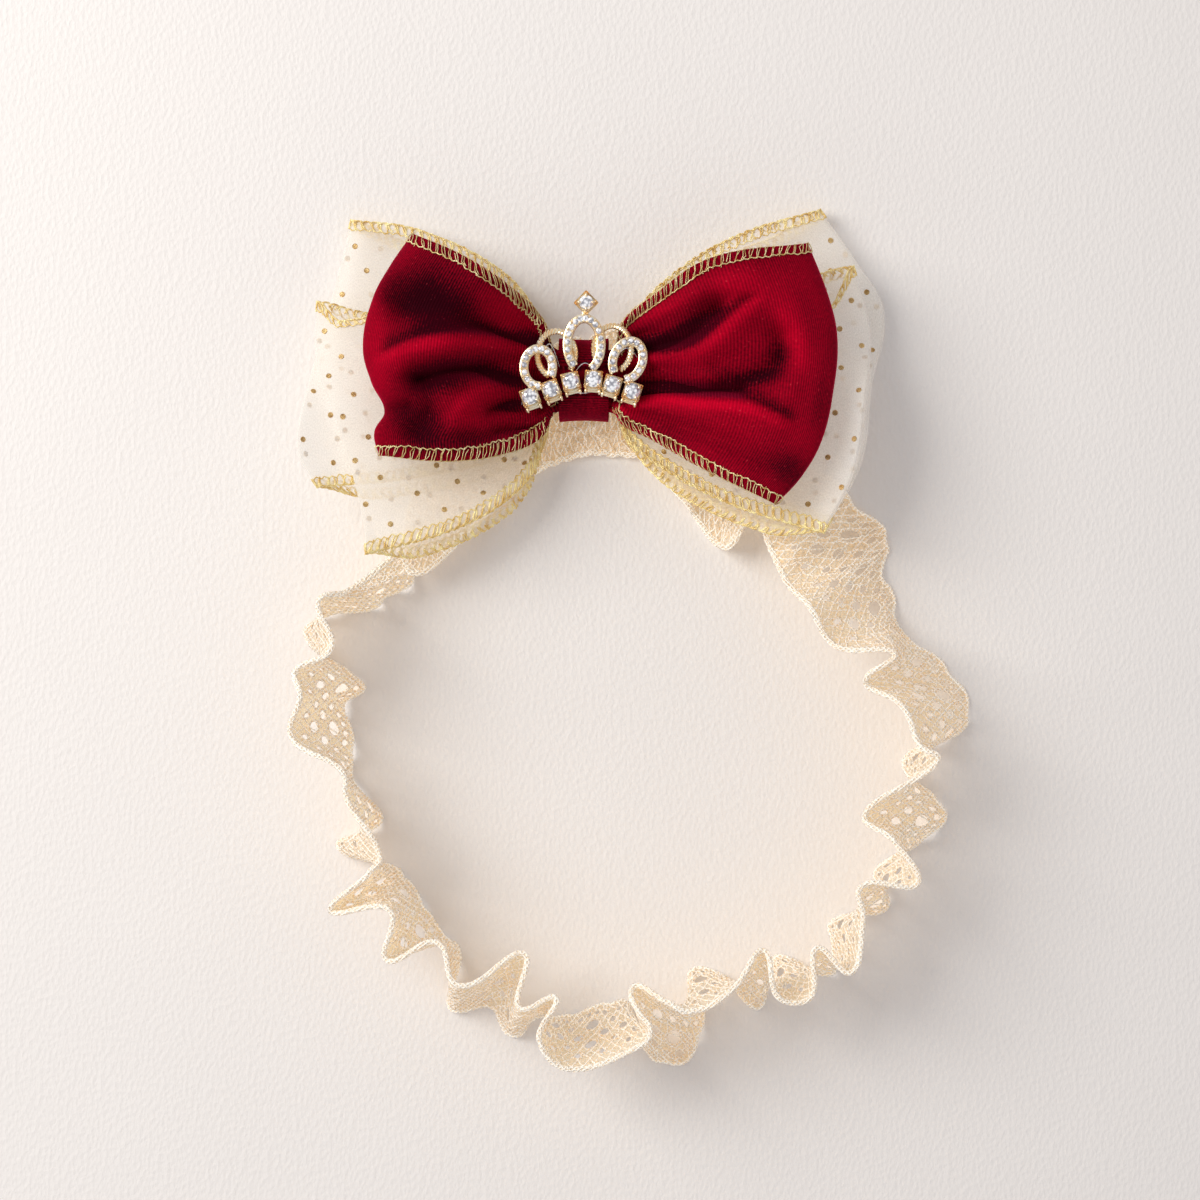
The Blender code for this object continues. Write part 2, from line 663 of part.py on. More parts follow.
def make_crown(name):
    """The crown charm's metal, with its small stones, joined into one body."""
    cups = bmesh.new()
    for x, y, _, turn in settings():
        add_prism(cups, x, y, CUP_SIDE / math.sqrt(2.0), 0.0, CUP_HIGH, 4, turn + 0.25 * math.pi, CUP_TAPER)
    place_crown(cups)
    crown = add_object(cups, name, GOLD)

    bars = bmesh.new()
    bar_section = flat_section(BAR_WIDTH, BAR_LOW, BAR_HIGH)
    for arc in CROWN_BARS:
        sweep_section(bars, [arc_place(arc, step / BAR_STEPS) for step in range(BAR_STEPS + 1)], bar_section)

    ropes = bmesh.new()
    rope_section = []
    for side in range(ROPE_SIDES):
        angle = math.tau * side / ROPE_SIDES
        rope_section.append((ROPE_RADIUS * math.cos(angle), ROPE_HEIGHT + ROPE_RADIUS * math.sin(angle)))
    for arc in CROWN_ROPES:
        sweep_section(ropes, [arc_place(arc, step / ROPE_STEPS) for step in range(ROPE_STEPS + 1)], rope_section)

    base = bmesh.new()
    feet = []
    for index, place in enumerate(BOTTOM_STONES):
        turn = bottom_turn(index)
        feet.append(Vector((place.x + FOOT_DROP * math.sin(turn), place.y - FOOT_DROP * math.cos(turn), 0.0)))
    sweep_section(base, feet, flat_section(FOOT_BAR_WIDTH, FOOT_BAR_LOW, FOOT_BAR_HIGH))
    middle_bar = CROWN_BARS[1]
    neck_low = Vector((middle_bar.x + NECK_SHIFT, middle_bar.y + middle_bar.half_height - NECK_BURY, 0.0))
    neck_high = Vector((TOP_STONE.x, TOP_STONE.y, 0.0))
    sweep_section(base, [neck_low, neck_high], flat_section(NECK_WIDTH, NECK_LOW, NECK_HIGH))

    pave = bmesh.new()
    for arc in CROWN_BARS:
        for stone in range(arc.stones):
            place = arc_place(arc, (stone + 0.5) / arc.stones)
            low = BAR_HIGH - PAVE_BURY
            high = BAR_HIGH + PAVE_RISE
            add_prism(pave, place.x, place.y, PAVE_RADIUS, low, high, 6, PAVE_TURN, PAVE_TAPER)

    prongs = bmesh.new()
    for x, y, radius, turn in settings():
        for corner in range(4):
            angle = turn + math.radians(45.0 + 90.0 * corner)
            reach = radius + PRONG_RADIUS + PRONG_CLEARANCE
            place = (x + reach * math.cos(angle), y + reach * math.sin(angle))
            add_prism(prongs, *place, PRONG_RADIUS, CUP_HIGH - PRONG_BURY, PRONG_HIGH, 6, angle, PRONG_TAPER)

    pockets = bmesh.new()
    for x, y, radius, turn in settings():
        mouth = (radius + STONE_CLEARANCE) / POCKET_TIP
        add_prism(pockets, x, y, POCKET_TIP, POCKET_LOW, CUP_HIGH + POCKET_RISE, STONE_SIDES, turn, mouth)

    tools = {"bars": bars, "ropes": ropes, "base": base, "pave": pave, "prongs": prongs, "pockets": pockets}
    for word, part in tools.items():
        step = crown.modifiers.new(word, "BOOLEAN")
        step.operation = "DIFFERENCE" if word == "pockets" else "UNION"
        step.solver = "MANIFOLD"
        step.object = add_tool(part, f"crown_{word}")
    return crown


def make_stone(name, x, y, radius, turn):
    """A round cut stone: table, eight crown facets, girdle and pavilion."""
    shape = bmesh.new()
    rings = []
    levels = ((TABLE_SHARE, TABLE_HEIGHT), (1.0, GIRDLE_HEIGHT + GIRDLE_THICKNESS), (1.0, GIRDLE_HEIGHT))
    for share, height in levels:
        ring = []
        for side in range(STONE_SIDES):
            angle = turn + math.tau * side / STONE_SIDES
            reach = radius * share
            ring.append(shape.verts.new((x + reach * math.cos(angle), y + reach * math.sin(angle), height)))
        rings.append(ring)
    shape.faces.new(rings[0])
    for upper, lower in zip(rings, rings[1:]):
        for side in range(STONE_SIDES):
            after = (side + 1) % STONE_SIDES
            shape.faces.new((upper[after], upper[side], lower[side], lower[after]))
    culet = shape.verts.new((x, y, CULET_HEIGHT))
    for side in range(STONE_SIDES):
        shape.faces.new((rings[-1][(side + 1) % STONE_SIDES], rings[-1][side], culet))
    bmesh.ops.recalc_face_normals(shape, faces=shape.faces)
    place_crown(shape)
    return add_object(shape, name, CRYSTAL)


def make_material(name, colour, roughness, metallic=0.0, transmission=0.0):
    """A Principled material with the part's colour."""
    material = bpy.data.materials.new(name)
    material.use_nodes = True
    shader = material.node_tree.nodes["Principled BSDF"]
    shader.inputs["Base Color"].default_value = (*colour, 1.0)
    shader.inputs["Roughness"].default_value = roughness
    shader.inputs["Metallic"].default_value = metallic
    shader.inputs["Transmission Weight"].default_value = transmission
    return material


def add_object(shape, name, look):
    """Make an object of a bmesh, with a material of its own."""
    mesh = bpy.data.meshes.new(name)
    shape.to_mesh(mesh)
    shape.free()
    piece = bpy.data.objects.new(name, mesh)
    piece.data.materials.append(make_material(name, *look))
    bpy.context.scene.collection.objects.link(piece)
    return piece


LACE_COLOUR = ((0.86, 0.77, 0.60), 0.9)
ORGANZA_COLOUR = ((0.90, 0.83, 0.68), 0.5)
VELVET_COLOUR = ((0.30, 0.004, 0.012), 0.8)
GOLD = ((0.83, 0.60, 0.30), 0.25, 1.0)
CRYSTAL = ((0.95, 0.95, 0.97), 0.05, 0.0, 0.6)


def main():
    """Build every piece of the headband."""
    clear_scene()
    make_lace("lace_band")
    organza_grid = (ORGANZA_FACE_STOPS, ORGANZA_BACK_STOPS, ORGANZA_ROWS)
    velvet_grid = (VELVET_FACE_STOPS, VELVET_BACK_STOPS, VELVET_ROWS)
    make_bow("organza_bow_lower", 0, (ORGANZA_LOWER_RIGHT, ORGANZA_LOWER_LEFT), organza_grid, ORGANZA_COLOUR)
    make_bow("organza_bow_upper", 1, (ORGANZA_UPPER_RIGHT, ORGANZA_UPPER_LEFT), organza_grid, ORGANZA_COLOUR)
    make_bow("velvet_bow", 2, (VELVET_RIGHT, VELVET_LEFT), velvet_grid, VELVET_COLOUR)
    make_knot("velvet_knot")
    make_crown("crown_frame")
    for index, (x, y, radius, turn) in enumerate(settings()):
        name = "crown_stone_top" if index == len(BOTTOM_STONES) else f"crown_stone_{index + 1}"
        make_stone(name, x, y, radius, turn)


main()
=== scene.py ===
"""Looks of the bow headband: ruffled cotton lace, sheer and velvet bows, and a small gold crown charm.

Places in the tables are millimetres as seen from above the middle of the loop, and Chart brings them to the
frame. Meshes are in metres. +X is to the right and +Y is up as the headband is seen, +Z towards the viewer.
"""

import logging
import math
from dataclasses import dataclass, field
from enum import Enum
from typing import Any, Callable, Iterable, NamedTuple, Sequence, Union

import bmesh
import bpy
import numpy as np
from mathutils import Matrix, Vector


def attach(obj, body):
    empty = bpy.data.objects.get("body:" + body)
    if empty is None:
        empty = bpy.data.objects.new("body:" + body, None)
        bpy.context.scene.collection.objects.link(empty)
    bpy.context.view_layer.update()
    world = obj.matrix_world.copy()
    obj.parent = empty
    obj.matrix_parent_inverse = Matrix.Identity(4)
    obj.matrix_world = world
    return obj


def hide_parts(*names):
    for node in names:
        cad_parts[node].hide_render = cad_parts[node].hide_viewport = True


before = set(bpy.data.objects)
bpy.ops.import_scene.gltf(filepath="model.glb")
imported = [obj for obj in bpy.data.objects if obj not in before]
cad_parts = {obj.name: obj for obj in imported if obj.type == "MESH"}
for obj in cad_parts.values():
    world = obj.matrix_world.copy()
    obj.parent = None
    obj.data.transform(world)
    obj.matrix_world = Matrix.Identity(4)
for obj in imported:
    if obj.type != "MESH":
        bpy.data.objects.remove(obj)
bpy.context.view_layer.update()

MM = 0.001
FLOOR_LEVEL = -0.0001
BODY = "root"

Array = np.ndarray
BMesh = bmesh.types.BMesh
Piece = bpy.types.Object
Socket = bpy.types.NodeSocket
Values = Union[float, Array]
Colour = tuple[float, float, float, float]
Feed = Union[Socket, float, Sequence[float]]
Surface = Callable[[Array, Array], Array]

log = logging.getLogger("headband")


class Slot(Enum):
    """Material slots of the record."""

    LACE = "cotton_lace"
    ORGANZA = "organza"
    VELVET = "velvet"
    GOLD = "gold"
    CRYSTAL = "crystal"


class Side(Enum):
    """Which of a loop's two wings is meant."""

    RIGHT = 1
    LEFT = -1


def mix(first: Values, second: Values, part: Values) -> Values:
    """Blend two values, or two arrays of them, by a part from 0 to 1."""
    return first + (second - first) * part


def smooth(value: Array, start: float, end: float) -> Array:
    """Ease from 0 at start to 1 at end."""
    part = np.clip((value - start) / (end - start), 0.0, 1.0)
    return part * part * (3.0 - 2.0 * part)


def unit(vectors: Array) -> Array:
    """Vectors brought to length 1."""
    return vectors / np.maximum(np.linalg.norm(vectors, axis=-1, keepdims=True), 1e-12)


@dataclass(frozen=True)
class Chart:
    """The view that the tables' places were charted from."""

    height: float = 709.0
    origin_x: float = -7.23
    origin_y: float = 8.28

    def to_frame(self, x: Array, y: Array, z: Array) -> Array:
        """Bring seen places back to where they lie.

        Args:
            x: Seen places across, in mm.
            y: Seen places up, in mm.
            z: Heights above the floor, in mm.

        Returns:
            Points in the frame, in metres.
        """
        pull = 1.0 - z / self.height
        return np.stack((x * pull + self.origin_x, y * pull + self.origin_y, z), axis=-1) * MM

    def seen(self, places: Array) -> tuple[Array, Array]:
        """Where places of the frame, in mm, are seen from above."""
        pull = 1.0 - places[..., 2] / self.height
        return (places[..., 0] - self.origin_x) / pull, (places[..., 1] - self.origin_y) / pull


CHART = Chart()
CURVE_SWELL = 0.75
CURVE_FULLNESS = 1.15


def eased(across: Array, chord: Array) -> Array:
    """Slope of a curve at a row, no longer than its stretch allows."""
    length = np.maximum(np.linalg.norm(across, axis=-1, keepdims=True), 1e-6)
    return across * np.minimum(CURVE_SWELL, CURVE_FULLNESS * chord / length)


def curve_through(rows: Sequence[Sequence[float]], at: Array, closed: bool = False) -> Array:
    """Points of the smooth curve through rows of numbers.

    Args:
        rows: The rows that the curve runs through.
        at: Places along it, counted in rows.
        closed: Whether it runs back to its first row.

    Returns:
        One row of numbers for each place.
    """
    places = np.asarray(rows, dtype=float)
    count = len(places)
    at = np.asarray(at, dtype=float)
    start = np.floor(at).astype(int)
    if not closed:
        start = np.clip(start, 0, count - 2)
    part = (at - start)[..., None]

    def row(step: int) -> Array:
        """The rows a step away from each start."""
        index = start + step
        return places[index % count if closed else np.clip(index, 0, count - 1)]

    before, first, second, after = (row(step) for step in (-1, 0, 1, 2))
    chord = np.linalg.norm(second - first, axis=-1, keepdims=True)
    square = part * part
    cube = square * part
    return (
        (2.0 * cube - 3.0 * square + 1.0) * first
        + (cube - 2.0 * square + part) * eased(second - before, chord)
        + (3.0 * square - 2.0 * cube) * second
        + (cube - square) * eased(after - first, chord)
    )


def along(rows: Sequence[Sequence[float]], part: Array) -> Array:
    """Points of the open curve through rows of numbers.

    Args:
        rows: The rows that the curve runs through.
        part: Parts of its length, from 0 to 1.

    Returns:
        One row of numbers for each part.
    """
    places = np.asarray(rows, dtype=float)
    steps = np.linalg.norm(np.diff(places, axis=0), axis=1)
    lengths = np.concatenate(([0.0], np.cumsum(steps)))
    return curve_through(places, np.interp(part * lengths[-1], lengths, np.arange(len(places))))


def path_length(points: Array) -> Array:
    """Length run along a path at each of its points."""
    return np.concatenate(([0.0], np.cumsum(np.linalg.norm(np.diff(points, axis=0), axis=1))))


def evenly(points: Array, step: float) -> Array:
    """Space a path's points evenly.

    Args:
        points: The path's points.
        step: How far apart they are wanted, about.

    Returns:
        The same path with its points an even step apart.
    """
    lengths = path_length(points)
    wanted = np.linspace(0.0, lengths[-1], max(int(round(lengths[-1] / step)), 2) + 1)
    return np.stack([np.interp(wanted, lengths, points[:, axis]) for axis in range(3)], axis=-1)


def new_piece(shape: BMesh, name: str, look: "Finish") -> Piece:
    """Make a finished piece of a bmesh.

    Args:
        shape: The mesh, in metres, in the frame. It is freed.
        name: The piece's name.
        look: The finish that it is dressed in.

    Returns:
        The piece, riding on the headband's body.
    """
    mesh = bpy.data.meshes.new(name)
    shape.to_mesh(mesh)
    shape.free()
    piece = bpy.data.objects.new(name, mesh)
    bpy.context.scene.collection.objects.link(piece)
    mesh.materials.append(look.material())
    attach(piece, BODY)
    log.info("%s: %d faces", name, len(mesh.polygons))
    return piece


def shade_smooth(shape: BMesh) -> None:
    """Shade every face of a bmesh as a round one."""
    for face in shape.faces:
        face.smooth = True


def thicken(piece: Piece, wall: float) -> None:
    """Give a sheet a wall.

    Args:
        piece: The sheet.
        wall: The wall's thickness in mm, half of it on each side.
    """
    modifier = piece.modifiers.new("wall", "SOLIDIFY")
    modifier.thickness = wall * MM
    modifier.offset = 0.0


def store_painted_shade(piece: Piece, tones: Array) -> None:
    """Store how light the pile looks at each vertex, from 0 to 1, with its painted shade and highlights."""
    pile_and_painted_shade = piece.data.attributes.new("pile_and_painted_shade", "FLOAT", "POINT")
    pile_and_painted_shade.data.foreach_set("value", tones.astype(np.float32))


def grid_shape(
    columns: int,
    rows: int,
    place: Surface,
    flat: tuple[float, float],
    closed: bool = False,
    holes: "HolePlan | None" = None,
) -> BMesh:
    """Shape a flat grid into a sheet of cloth.

    Args:
        columns: Faces along the cloth.
        rows: Faces across it.
        place: Gives the points, in metres, of parts along and across, both from 0 to 1.
        flat: The cloth's flat length and width in mm, which its UV map is in.
        closed: Whether the last column meets the first.
        holes: Where holes are cut, if any.

    Returns:
        The sheet as a bmesh, shaded smooth, with a UV map in mm.
    """
    shape = bmesh.new()
    weave = shape.loops.layers.uv.new("weave")
    bmesh.ops.create_grid(shape, x_segments=columns, y_segments=rows, size=0.5)
    spots = np.array([vert.co.xy for vert in shape.verts]) + 0.5
    if holes is not None:
        spots = holes.cut(shape, spots)
    shape.verts.index_update()
    lengths = spots * np.array(flat)
    for face in shape.faces:
        for loop in face.loops:
            loop[weave].uv = lengths[loop.vert.index]
    for vert, point in zip(shape.verts, place(spots[:, 0], spots[:, 1])):
        vert.co = point
    if closed:
        bmesh.ops.remove_doubles(shape, verts=shape.verts, dist=2e-6)
    bmesh.ops.recalc_face_normals(shape, faces=shape.faces)
    shade_smooth(shape)
    return shape


def add_tubes(
    shape: BMesh, paths: Iterable[Array], radius: float, rounds: int = 1, cyclic: bool = False
) -> None:
    """Add a round thread along each path.

    Args:
        shape: The bmesh that the threads are added to.
        paths: Points in the bmesh's own unit, one array for each thread.
        radius: The threads' radius, in the same unit.
        rounds: The curve's bevel resolution, where 1 gives six sides.
        cyclic: Whether each thread's end meets its start.
    """
    curve = bpy.data.curves.new("thread", "CURVE")
    curve.dimensions = "3D"
    curve.bevel_depth = radius
    curve.bevel_resolution = rounds
    curve.use_fill_caps = True
    for path in paths:
        spline = curve.splines.new("POLY")
        spline.points.add(len(path) - 1)
        spline.points.foreach_set("co", np.column_stack((path, np.ones(len(path)))).ravel())
        spline.use_cyclic_u = cyclic
    holder = bpy.data.objects.new("thread", curve)
    bpy.context.scene.collection.objects.link(holder)
    ready = holder.evaluated_get(bpy.context.evaluated_depsgraph_get())
    mesh = bpy.data.meshes.new_from_object(ready)
    shape.from_mesh(mesh)
    bpy.data.objects.remove(holder)
    bpy.data.curves.remove(curve)
    bpy.data.meshes.remove(mesh)


def thread_piece(
    name: str,
    look: "Finish",
    bundles: Sequence[tuple[Iterable[Array], float]],
    rounds: int = 0,
    cyclic: bool = False,
) -> Piece:
    """Make a piece of round threads.

    Args:
        name: The piece's name.
        look: The finish that it is dressed in.
        bundles: Paths in metres, with their threads' radius in mm.
        rounds: The curve's bevel resolution, where 1 gives six sides.
        cyclic: Whether each thread's end meets its start.

    Returns:
        The piece.
    """
    shape = bmesh.new()
    for paths, radius in bundles:
        add_tubes(shape, paths, radius * MM, rounds, cyclic)
    shade_smooth(shape)
    return new_piece(shape, name, look)


def twisted(path: Array, up: Array, spread: tuple[float, float], pitch: float, strands: int) -> list[Array]:
    """Strands twisted round a path.

    Args:
        path: The rope's middle line, evenly spaced.
        up: A direction at each point, roughly square to the path.
        spread: How far the strands lie from the middle, sideways and along up.
        pitch: Length of one whole twist.
        strands: How many strands there are.

    Returns:
        One path for each strand.
    """
    ahead = unit(np.gradient(path, axis=0))
    side = unit(np.cross(ahead, up))
    rise = unit(np.cross(side, ahead))
    run = path_length(path)
    turns = max(round(run[-1] / pitch), 1) / run[-1]
    found = []
    for strand in range(strands):
        angle = math.tau * (run * turns + strand / strands)
        sideways = side * (spread[0] * np.cos(angle))[:, None]
        found.append(path + sideways + rise * (spread[1] * np.sin(angle))[:, None])
    return found


class Board:
    """A node tree and the steps to wire it."""

    def __init__(self, tree: bpy.types.NodeTree) -> None:
        """Take the tree to work on."""
        self.tree = tree

    def fill(self, node: bpy.types.Node, **inputs: Feed) -> None:
        """Fill a node's sockets.

        Args:
            node: The node.
            **inputs: A value, or a socket to link from, for each socket. Sockets go by name, with spaces as
                underscores, or by number as at0, at1 and so on.
        """
        for name, value in inputs.items():
            socket = node.inputs[int(name[2:]) if name.startswith("at") else name.replace("_", " ")]
            if isinstance(value, Socket):
                self.tree.links.new(value, socket)
            else:
                socket.default_value = value

    def node(self, kind: str, settings: dict | None = None, **inputs: Feed) -> bpy.types.Node:
        """Add a node.

        Args:
            kind: The node's type, without the word ShaderNode.
            settings: Values of its own, such as a blend type.
            **inputs: Its sockets, in the way that fill takes them.

        Returns:
            The node.
        """
        made = self.tree.nodes.new("ShaderNode" + kind)
        for name, value in (settings or {}).items():
            setattr(made, name, value)
        self.fill(made, **inputs)
        return made

    def math(self, operation: str, first: Feed, second: Feed = 0.0, third: Feed = 0.0) -> Socket:
        """The result of one Math node."""
        return self.node("Math", {"operation": operation}, at0=first, at1=second, at2=third).outputs[0]

    def blend(self, part: Feed, first: Feed, second: Feed) -> Socket:
        """The result of one colour Mix node."""
        return self.node("Mix", {"data_type": "RGBA"}, at0=part, at6=first, at7=second).outputs[2]

    def spread(self, value: Feed, low: float, high: float, to_low: float = 0.0,
               to_high: float = 1.0) -> Socket:
        """A value brought from one range to another, and kept inside it."""
        ranges = {"From_Min": low, "From_Max": high, "To_Min": to_low, "To_Max": to_high}
        return self.node("MapRange", None, Value=value, **ranges).outputs[0]

    def noise(self, place: Socket, scale: Feed, detail: float = 1.0, flat: bool = False,
              **inputs: Feed) -> Socket:
        """The value of one Noise Texture node, in the plane where it is flat."""
        settings = {"noise_dimensions": "2D"} if flat else None
        return self.node("TexNoise", settings, Vector=place, Scale=scale, Detail=detail, **inputs).outputs[0]

    def woven(self) -> Socket:
        """Places on the flat cloth, in mm."""
        return self.node("UVMap", {"uv_map": "weave"}).outputs[0]

    def solid(self) -> Socket:
        """Places in the piece, in metres."""
        return self.node("TexCoord").outputs["Object"]


def new_group(name: str, inputs: dict[str, float | None], outputs: Sequence[str]) -> tuple[Board, Any, Any]:
    """Start a node group.

    Args:
        name: The group's name.
        inputs: Name and default of each input, which is a vector where the default is None.
        outputs: Names of its outputs, all of them numbers.

    Returns:
        A board for the group, its inputs by name, and its output node.
    """
    group = bpy.data.node_groups.new(name, "ShaderNodeTree")
    for label, default in inputs.items():
        kind = "NodeSocketVector" if default is None else "NodeSocketFloat"
        socket = group.interface.new_socket(name=label, in_out="INPUT", socket_type=kind)
        if default is not None:
            socket.default_value = default
    for label in outputs:
        group.interface.new_socket(name=label, in_out="OUTPUT", socket_type="NodeSocketFloat")
    return Board(group), group.nodes.new("NodeGroupInput").outputs, group.nodes.new("NodeGroupOutput")


class Effects:
    """Node groups that more than one finish uses, each built once."""

    made: dict[str, bpy.types.NodeTree] = {}

    @classmethod
    def get(cls, name: str) -> bpy.types.NodeTree:
        """The group of that name.

        Args:
            name: Name of the method here that builds it.

        Returns:
            The group, built when it is first asked for.
        """
        if name not in cls.made:
            cls.made[name] = getattr(cls, name)()
        return cls.made[name]

    @staticmethod
    def fuzz() -> bpy.types.NodeTree:
        """Fine fibres: a soft height and a slow change of tone.

        Returns:
            The group.
        """
        inputs = {"Vector": None, "Fibre": 3000.0, "Patch": 120.0}
        board, entry, leave = new_group("fuzz", inputs, ("Height", "Tone"))
        fibre = board.noise(entry["Vector"], entry["Fibre"], 1.5, Roughness=0.65)
        patch = board.noise(entry["Vector"], entry["Patch"])
        board.fill(leave, Height=fibre, Tone=board.spread(patch, 0.3, 0.7))
        return board.tree

    @staticmethod
    def plait() -> bpy.types.NodeTree:
        """Threads that cross on the slant, as in a plait or a twisted cord.

        Returns:
            The group.
        """
        inputs = {"Vector": None, "Scale": 1.0, "Waver": 1.5}
        board, entry, leave = new_group("plait", inputs, ("Height",))
        heights = []
        for turn in (0.85, -0.75):
            lean = board.node("Mapping", None, Vector=entry["Vector"], Rotation=(0.0, 0.0, turn))
            wave = board.node("TexWave", None, Vector=lean.outputs[0], Scale=entry["Scale"],
                              Distortion=entry["Waver"], Detail=1.0, Detail_Scale=1.6)
            heights.append(wave.outputs["Fac"])
        board.fill(leave, Height=board.math("MAXIMUM", *heights))
        return board.tree


class MaterialBoard(Board):
    """The board of a new material, with its Principled shader and its output."""

    def __init__(self, name: str) -> None:
        """Start the material.

        Args:
            name: Its name.
        """
        self.material = bpy.data.materials.new(name)
        self.material.use_nodes = True
        super().__init__(self.material.node_tree)
        self.shader = self.tree.nodes["Principled BSDF"]
        self.output = self.tree.nodes["Material Output"]

    def effect(self, name: str, place: Socket, **inputs: Feed) -> bpy.types.Node:
        """Place a shared effect."""
        return self.node("Group", {"node_tree": Effects.get(name)}, Vector=place, **inputs)

    def fuzz(self, place: Socket, fibre: float, patch: float) -> tuple[Socket, Socket]:
        """Height and tone of fine fibres."""
        made = self.effect("fuzz", place, Fibre=fibre, Patch=patch)
        return made.outputs["Height"], made.outputs["Tone"]

    def shade(self, **inputs: Feed) -> None:
        """Fill the shader's sockets."""
        self.fill(self.shader, **inputs)

    def bump(self, height: Socket, strength: float, depth: float) -> None:
        """Lead a height to the shader's normal, with its depth in metres."""
        made = self.node("Bump", None, Height=height, Strength=strength, Distance=depth)
        self.shade(Normal=made.outputs[0])

    def let_light_through(self, share: float, colour: Colour) -> None:
        """Mix the shader with light that comes through the cloth.

        Args:
            share: How much of it comes through.
            colour: The colour that it takes on.
        """
        glow = self.node("BsdfTranslucent", None, Color=colour)
        both = self.node("MixShader", None, at0=share, at1=self.shader.outputs[0], at2=glow.outputs[0])
        self.fill(self.output, Surface=both.outputs[0])


class Finish:
    """A finish that makes its material once, when it is first asked for."""

    made: dict[str, bpy.types.Material] = {}
    name = "finish"

    def material(self) -> bpy.types.Material:
        """The material of this finish.

        Returns:
            The one material that all its pieces share.
        """
        if self.name not in self.made:
            board = MaterialBoard(self.name)
            self.wire(board)
            self.made[self.name] = board.material
        return self.made[self.name]

    def wire(self, board: MaterialBoard) -> None:
        """Wire the material.

        Args:
            board: The material's board.
        """
        raise NotImplementedError


@dataclass(frozen=True)
class CottonLace(Finish):
    """Cream cotton thread, which lets a little light through; its gap shade and warm glow are painted."""

    name: str = "cream_cotton"
    light: Colour = (1.0, 0.97, 0.91, 1.0)
    deep: Colour = (0.88, 0.61, 0.31, 1.0)
    glow: Colour = (1.0, 0.80, 0.48, 1.0)
    let_through: float = 0.42
    # Painted warm glow: the emission colours, from threads to gaps, and its strength.
    painted_glow_light: Colour = (1.0, 0.86, 0.64, 1.0)
    painted_glow_deep: Colour = (1.0, 0.56, 0.23, 1.0)
    painted_glow: float = 0.27
    use_weave: bool = True

    def wire(self, board: MaterialBoard) -> None:
        """Threads with painted shade in their gaps, over a slow change of tone, and a painted warm glow.

        Args:
            board: The material's board.
        """
        if self.use_weave:
            place = board.woven()
            plait = board.effect("plait", place, Scale=0.30, Waver=3.2).outputs["Height"]
            fibre, patch = board.fuzz(place, 3.2, 0.16)
            stray = board.noise(place, 1.1, flat=True).node.outputs["Color"]
            bent = board.node("VectorMath", {"operation": "MULTIPLY_ADD"},
                              at0=stray, at1=(1.1, 1.1, 0.0), at2=place)
            cells = board.node("TexVoronoi", {"feature": "DISTANCE_TO_EDGE", "voronoi_dimensions": "2D"},
                               Vector=bent.outputs[0], Scale=0.95)
            loops = board.spread(cells.outputs["Distance"], 0.03, 0.24, 1.0, 0.0)
            threads = board.math("MAXIMUM", loops, board.math("MULTIPLY", plait, 0.45))
        else:
            place = board.solid()
            threads = board.effect("plait", place, Scale=420.0, Waver=2.0).outputs["Height"]
            fibre, patch = board.fuzz(place, 3200.0, 160.0)
        # Painted shade: the gaps between threads are darkened towards deep, and the painted warm glow is
        # deeper there.
        painted_gap_shade = board.math("MULTIPLY_ADD", patch, 0.22, board.spread(threads, 0.70, 0.20, 0.0, 0.60))
        board.shade(Base_Color=board.blend(painted_gap_shade, self.light, self.deep),
                    Roughness=0.85, Specular_IOR_Level=0.2,
                    Emission_Color=board.blend(painted_gap_shade, self.painted_glow_light, self.painted_glow_deep),
                    Emission_Strength=self.painted_glow, Sheen_Weight=0.6, Sheen_Roughness=0.5)
        board.bump(board.math("MULTIPLY_ADD", fibre, 0.5, threads), 0.85, 0.00045)
        board.let_light_through(self.let_through, self.glow)


@dataclass(frozen=True)
class Organza(Finish):
    """Sheer ivory ribbon."""

    name: str = "ivory_organza"
    light: Colour = (1.0, 0.995, 0.975, 1.0)
    warm: Colour = (1.0, 0.92, 0.81, 1.0)
    glow: Colour = (1.0, 0.98, 0.93, 1.0)
    cover: float = 0.32
    cover_waver: float = 0.09
    let_through: float = 0.26
    # Painted glow: emission in the organza's own tone.
    painted_glow: float = 0.10

    def wire(self, board: MaterialBoard) -> None:
        """A fine grain in what it covers, a soft sheen, and a faint painted glow in its own tone.

        Args:
            board: The material's board.
        """
        fibre, patch = board.fuzz(board.woven(), 2.6, 0.08)
        tone = board.blend(board.math("MULTIPLY", patch, 0.5), self.light, self.warm)
        cover = board.spread(fibre, 0.3, 0.7, self.cover - self.cover_waver, self.cover + self.cover_waver)
        board.shade(Base_Color=tone, Alpha=cover, Roughness=0.55, Specular_IOR_Level=0.35, Sheen_Weight=0.4,
                    Emission_Color=tone, Emission_Strength=self.painted_glow)
        board.bump(fibre, 0.35, 0.0001)
        board.let_light_through(self.let_through, self.glow)


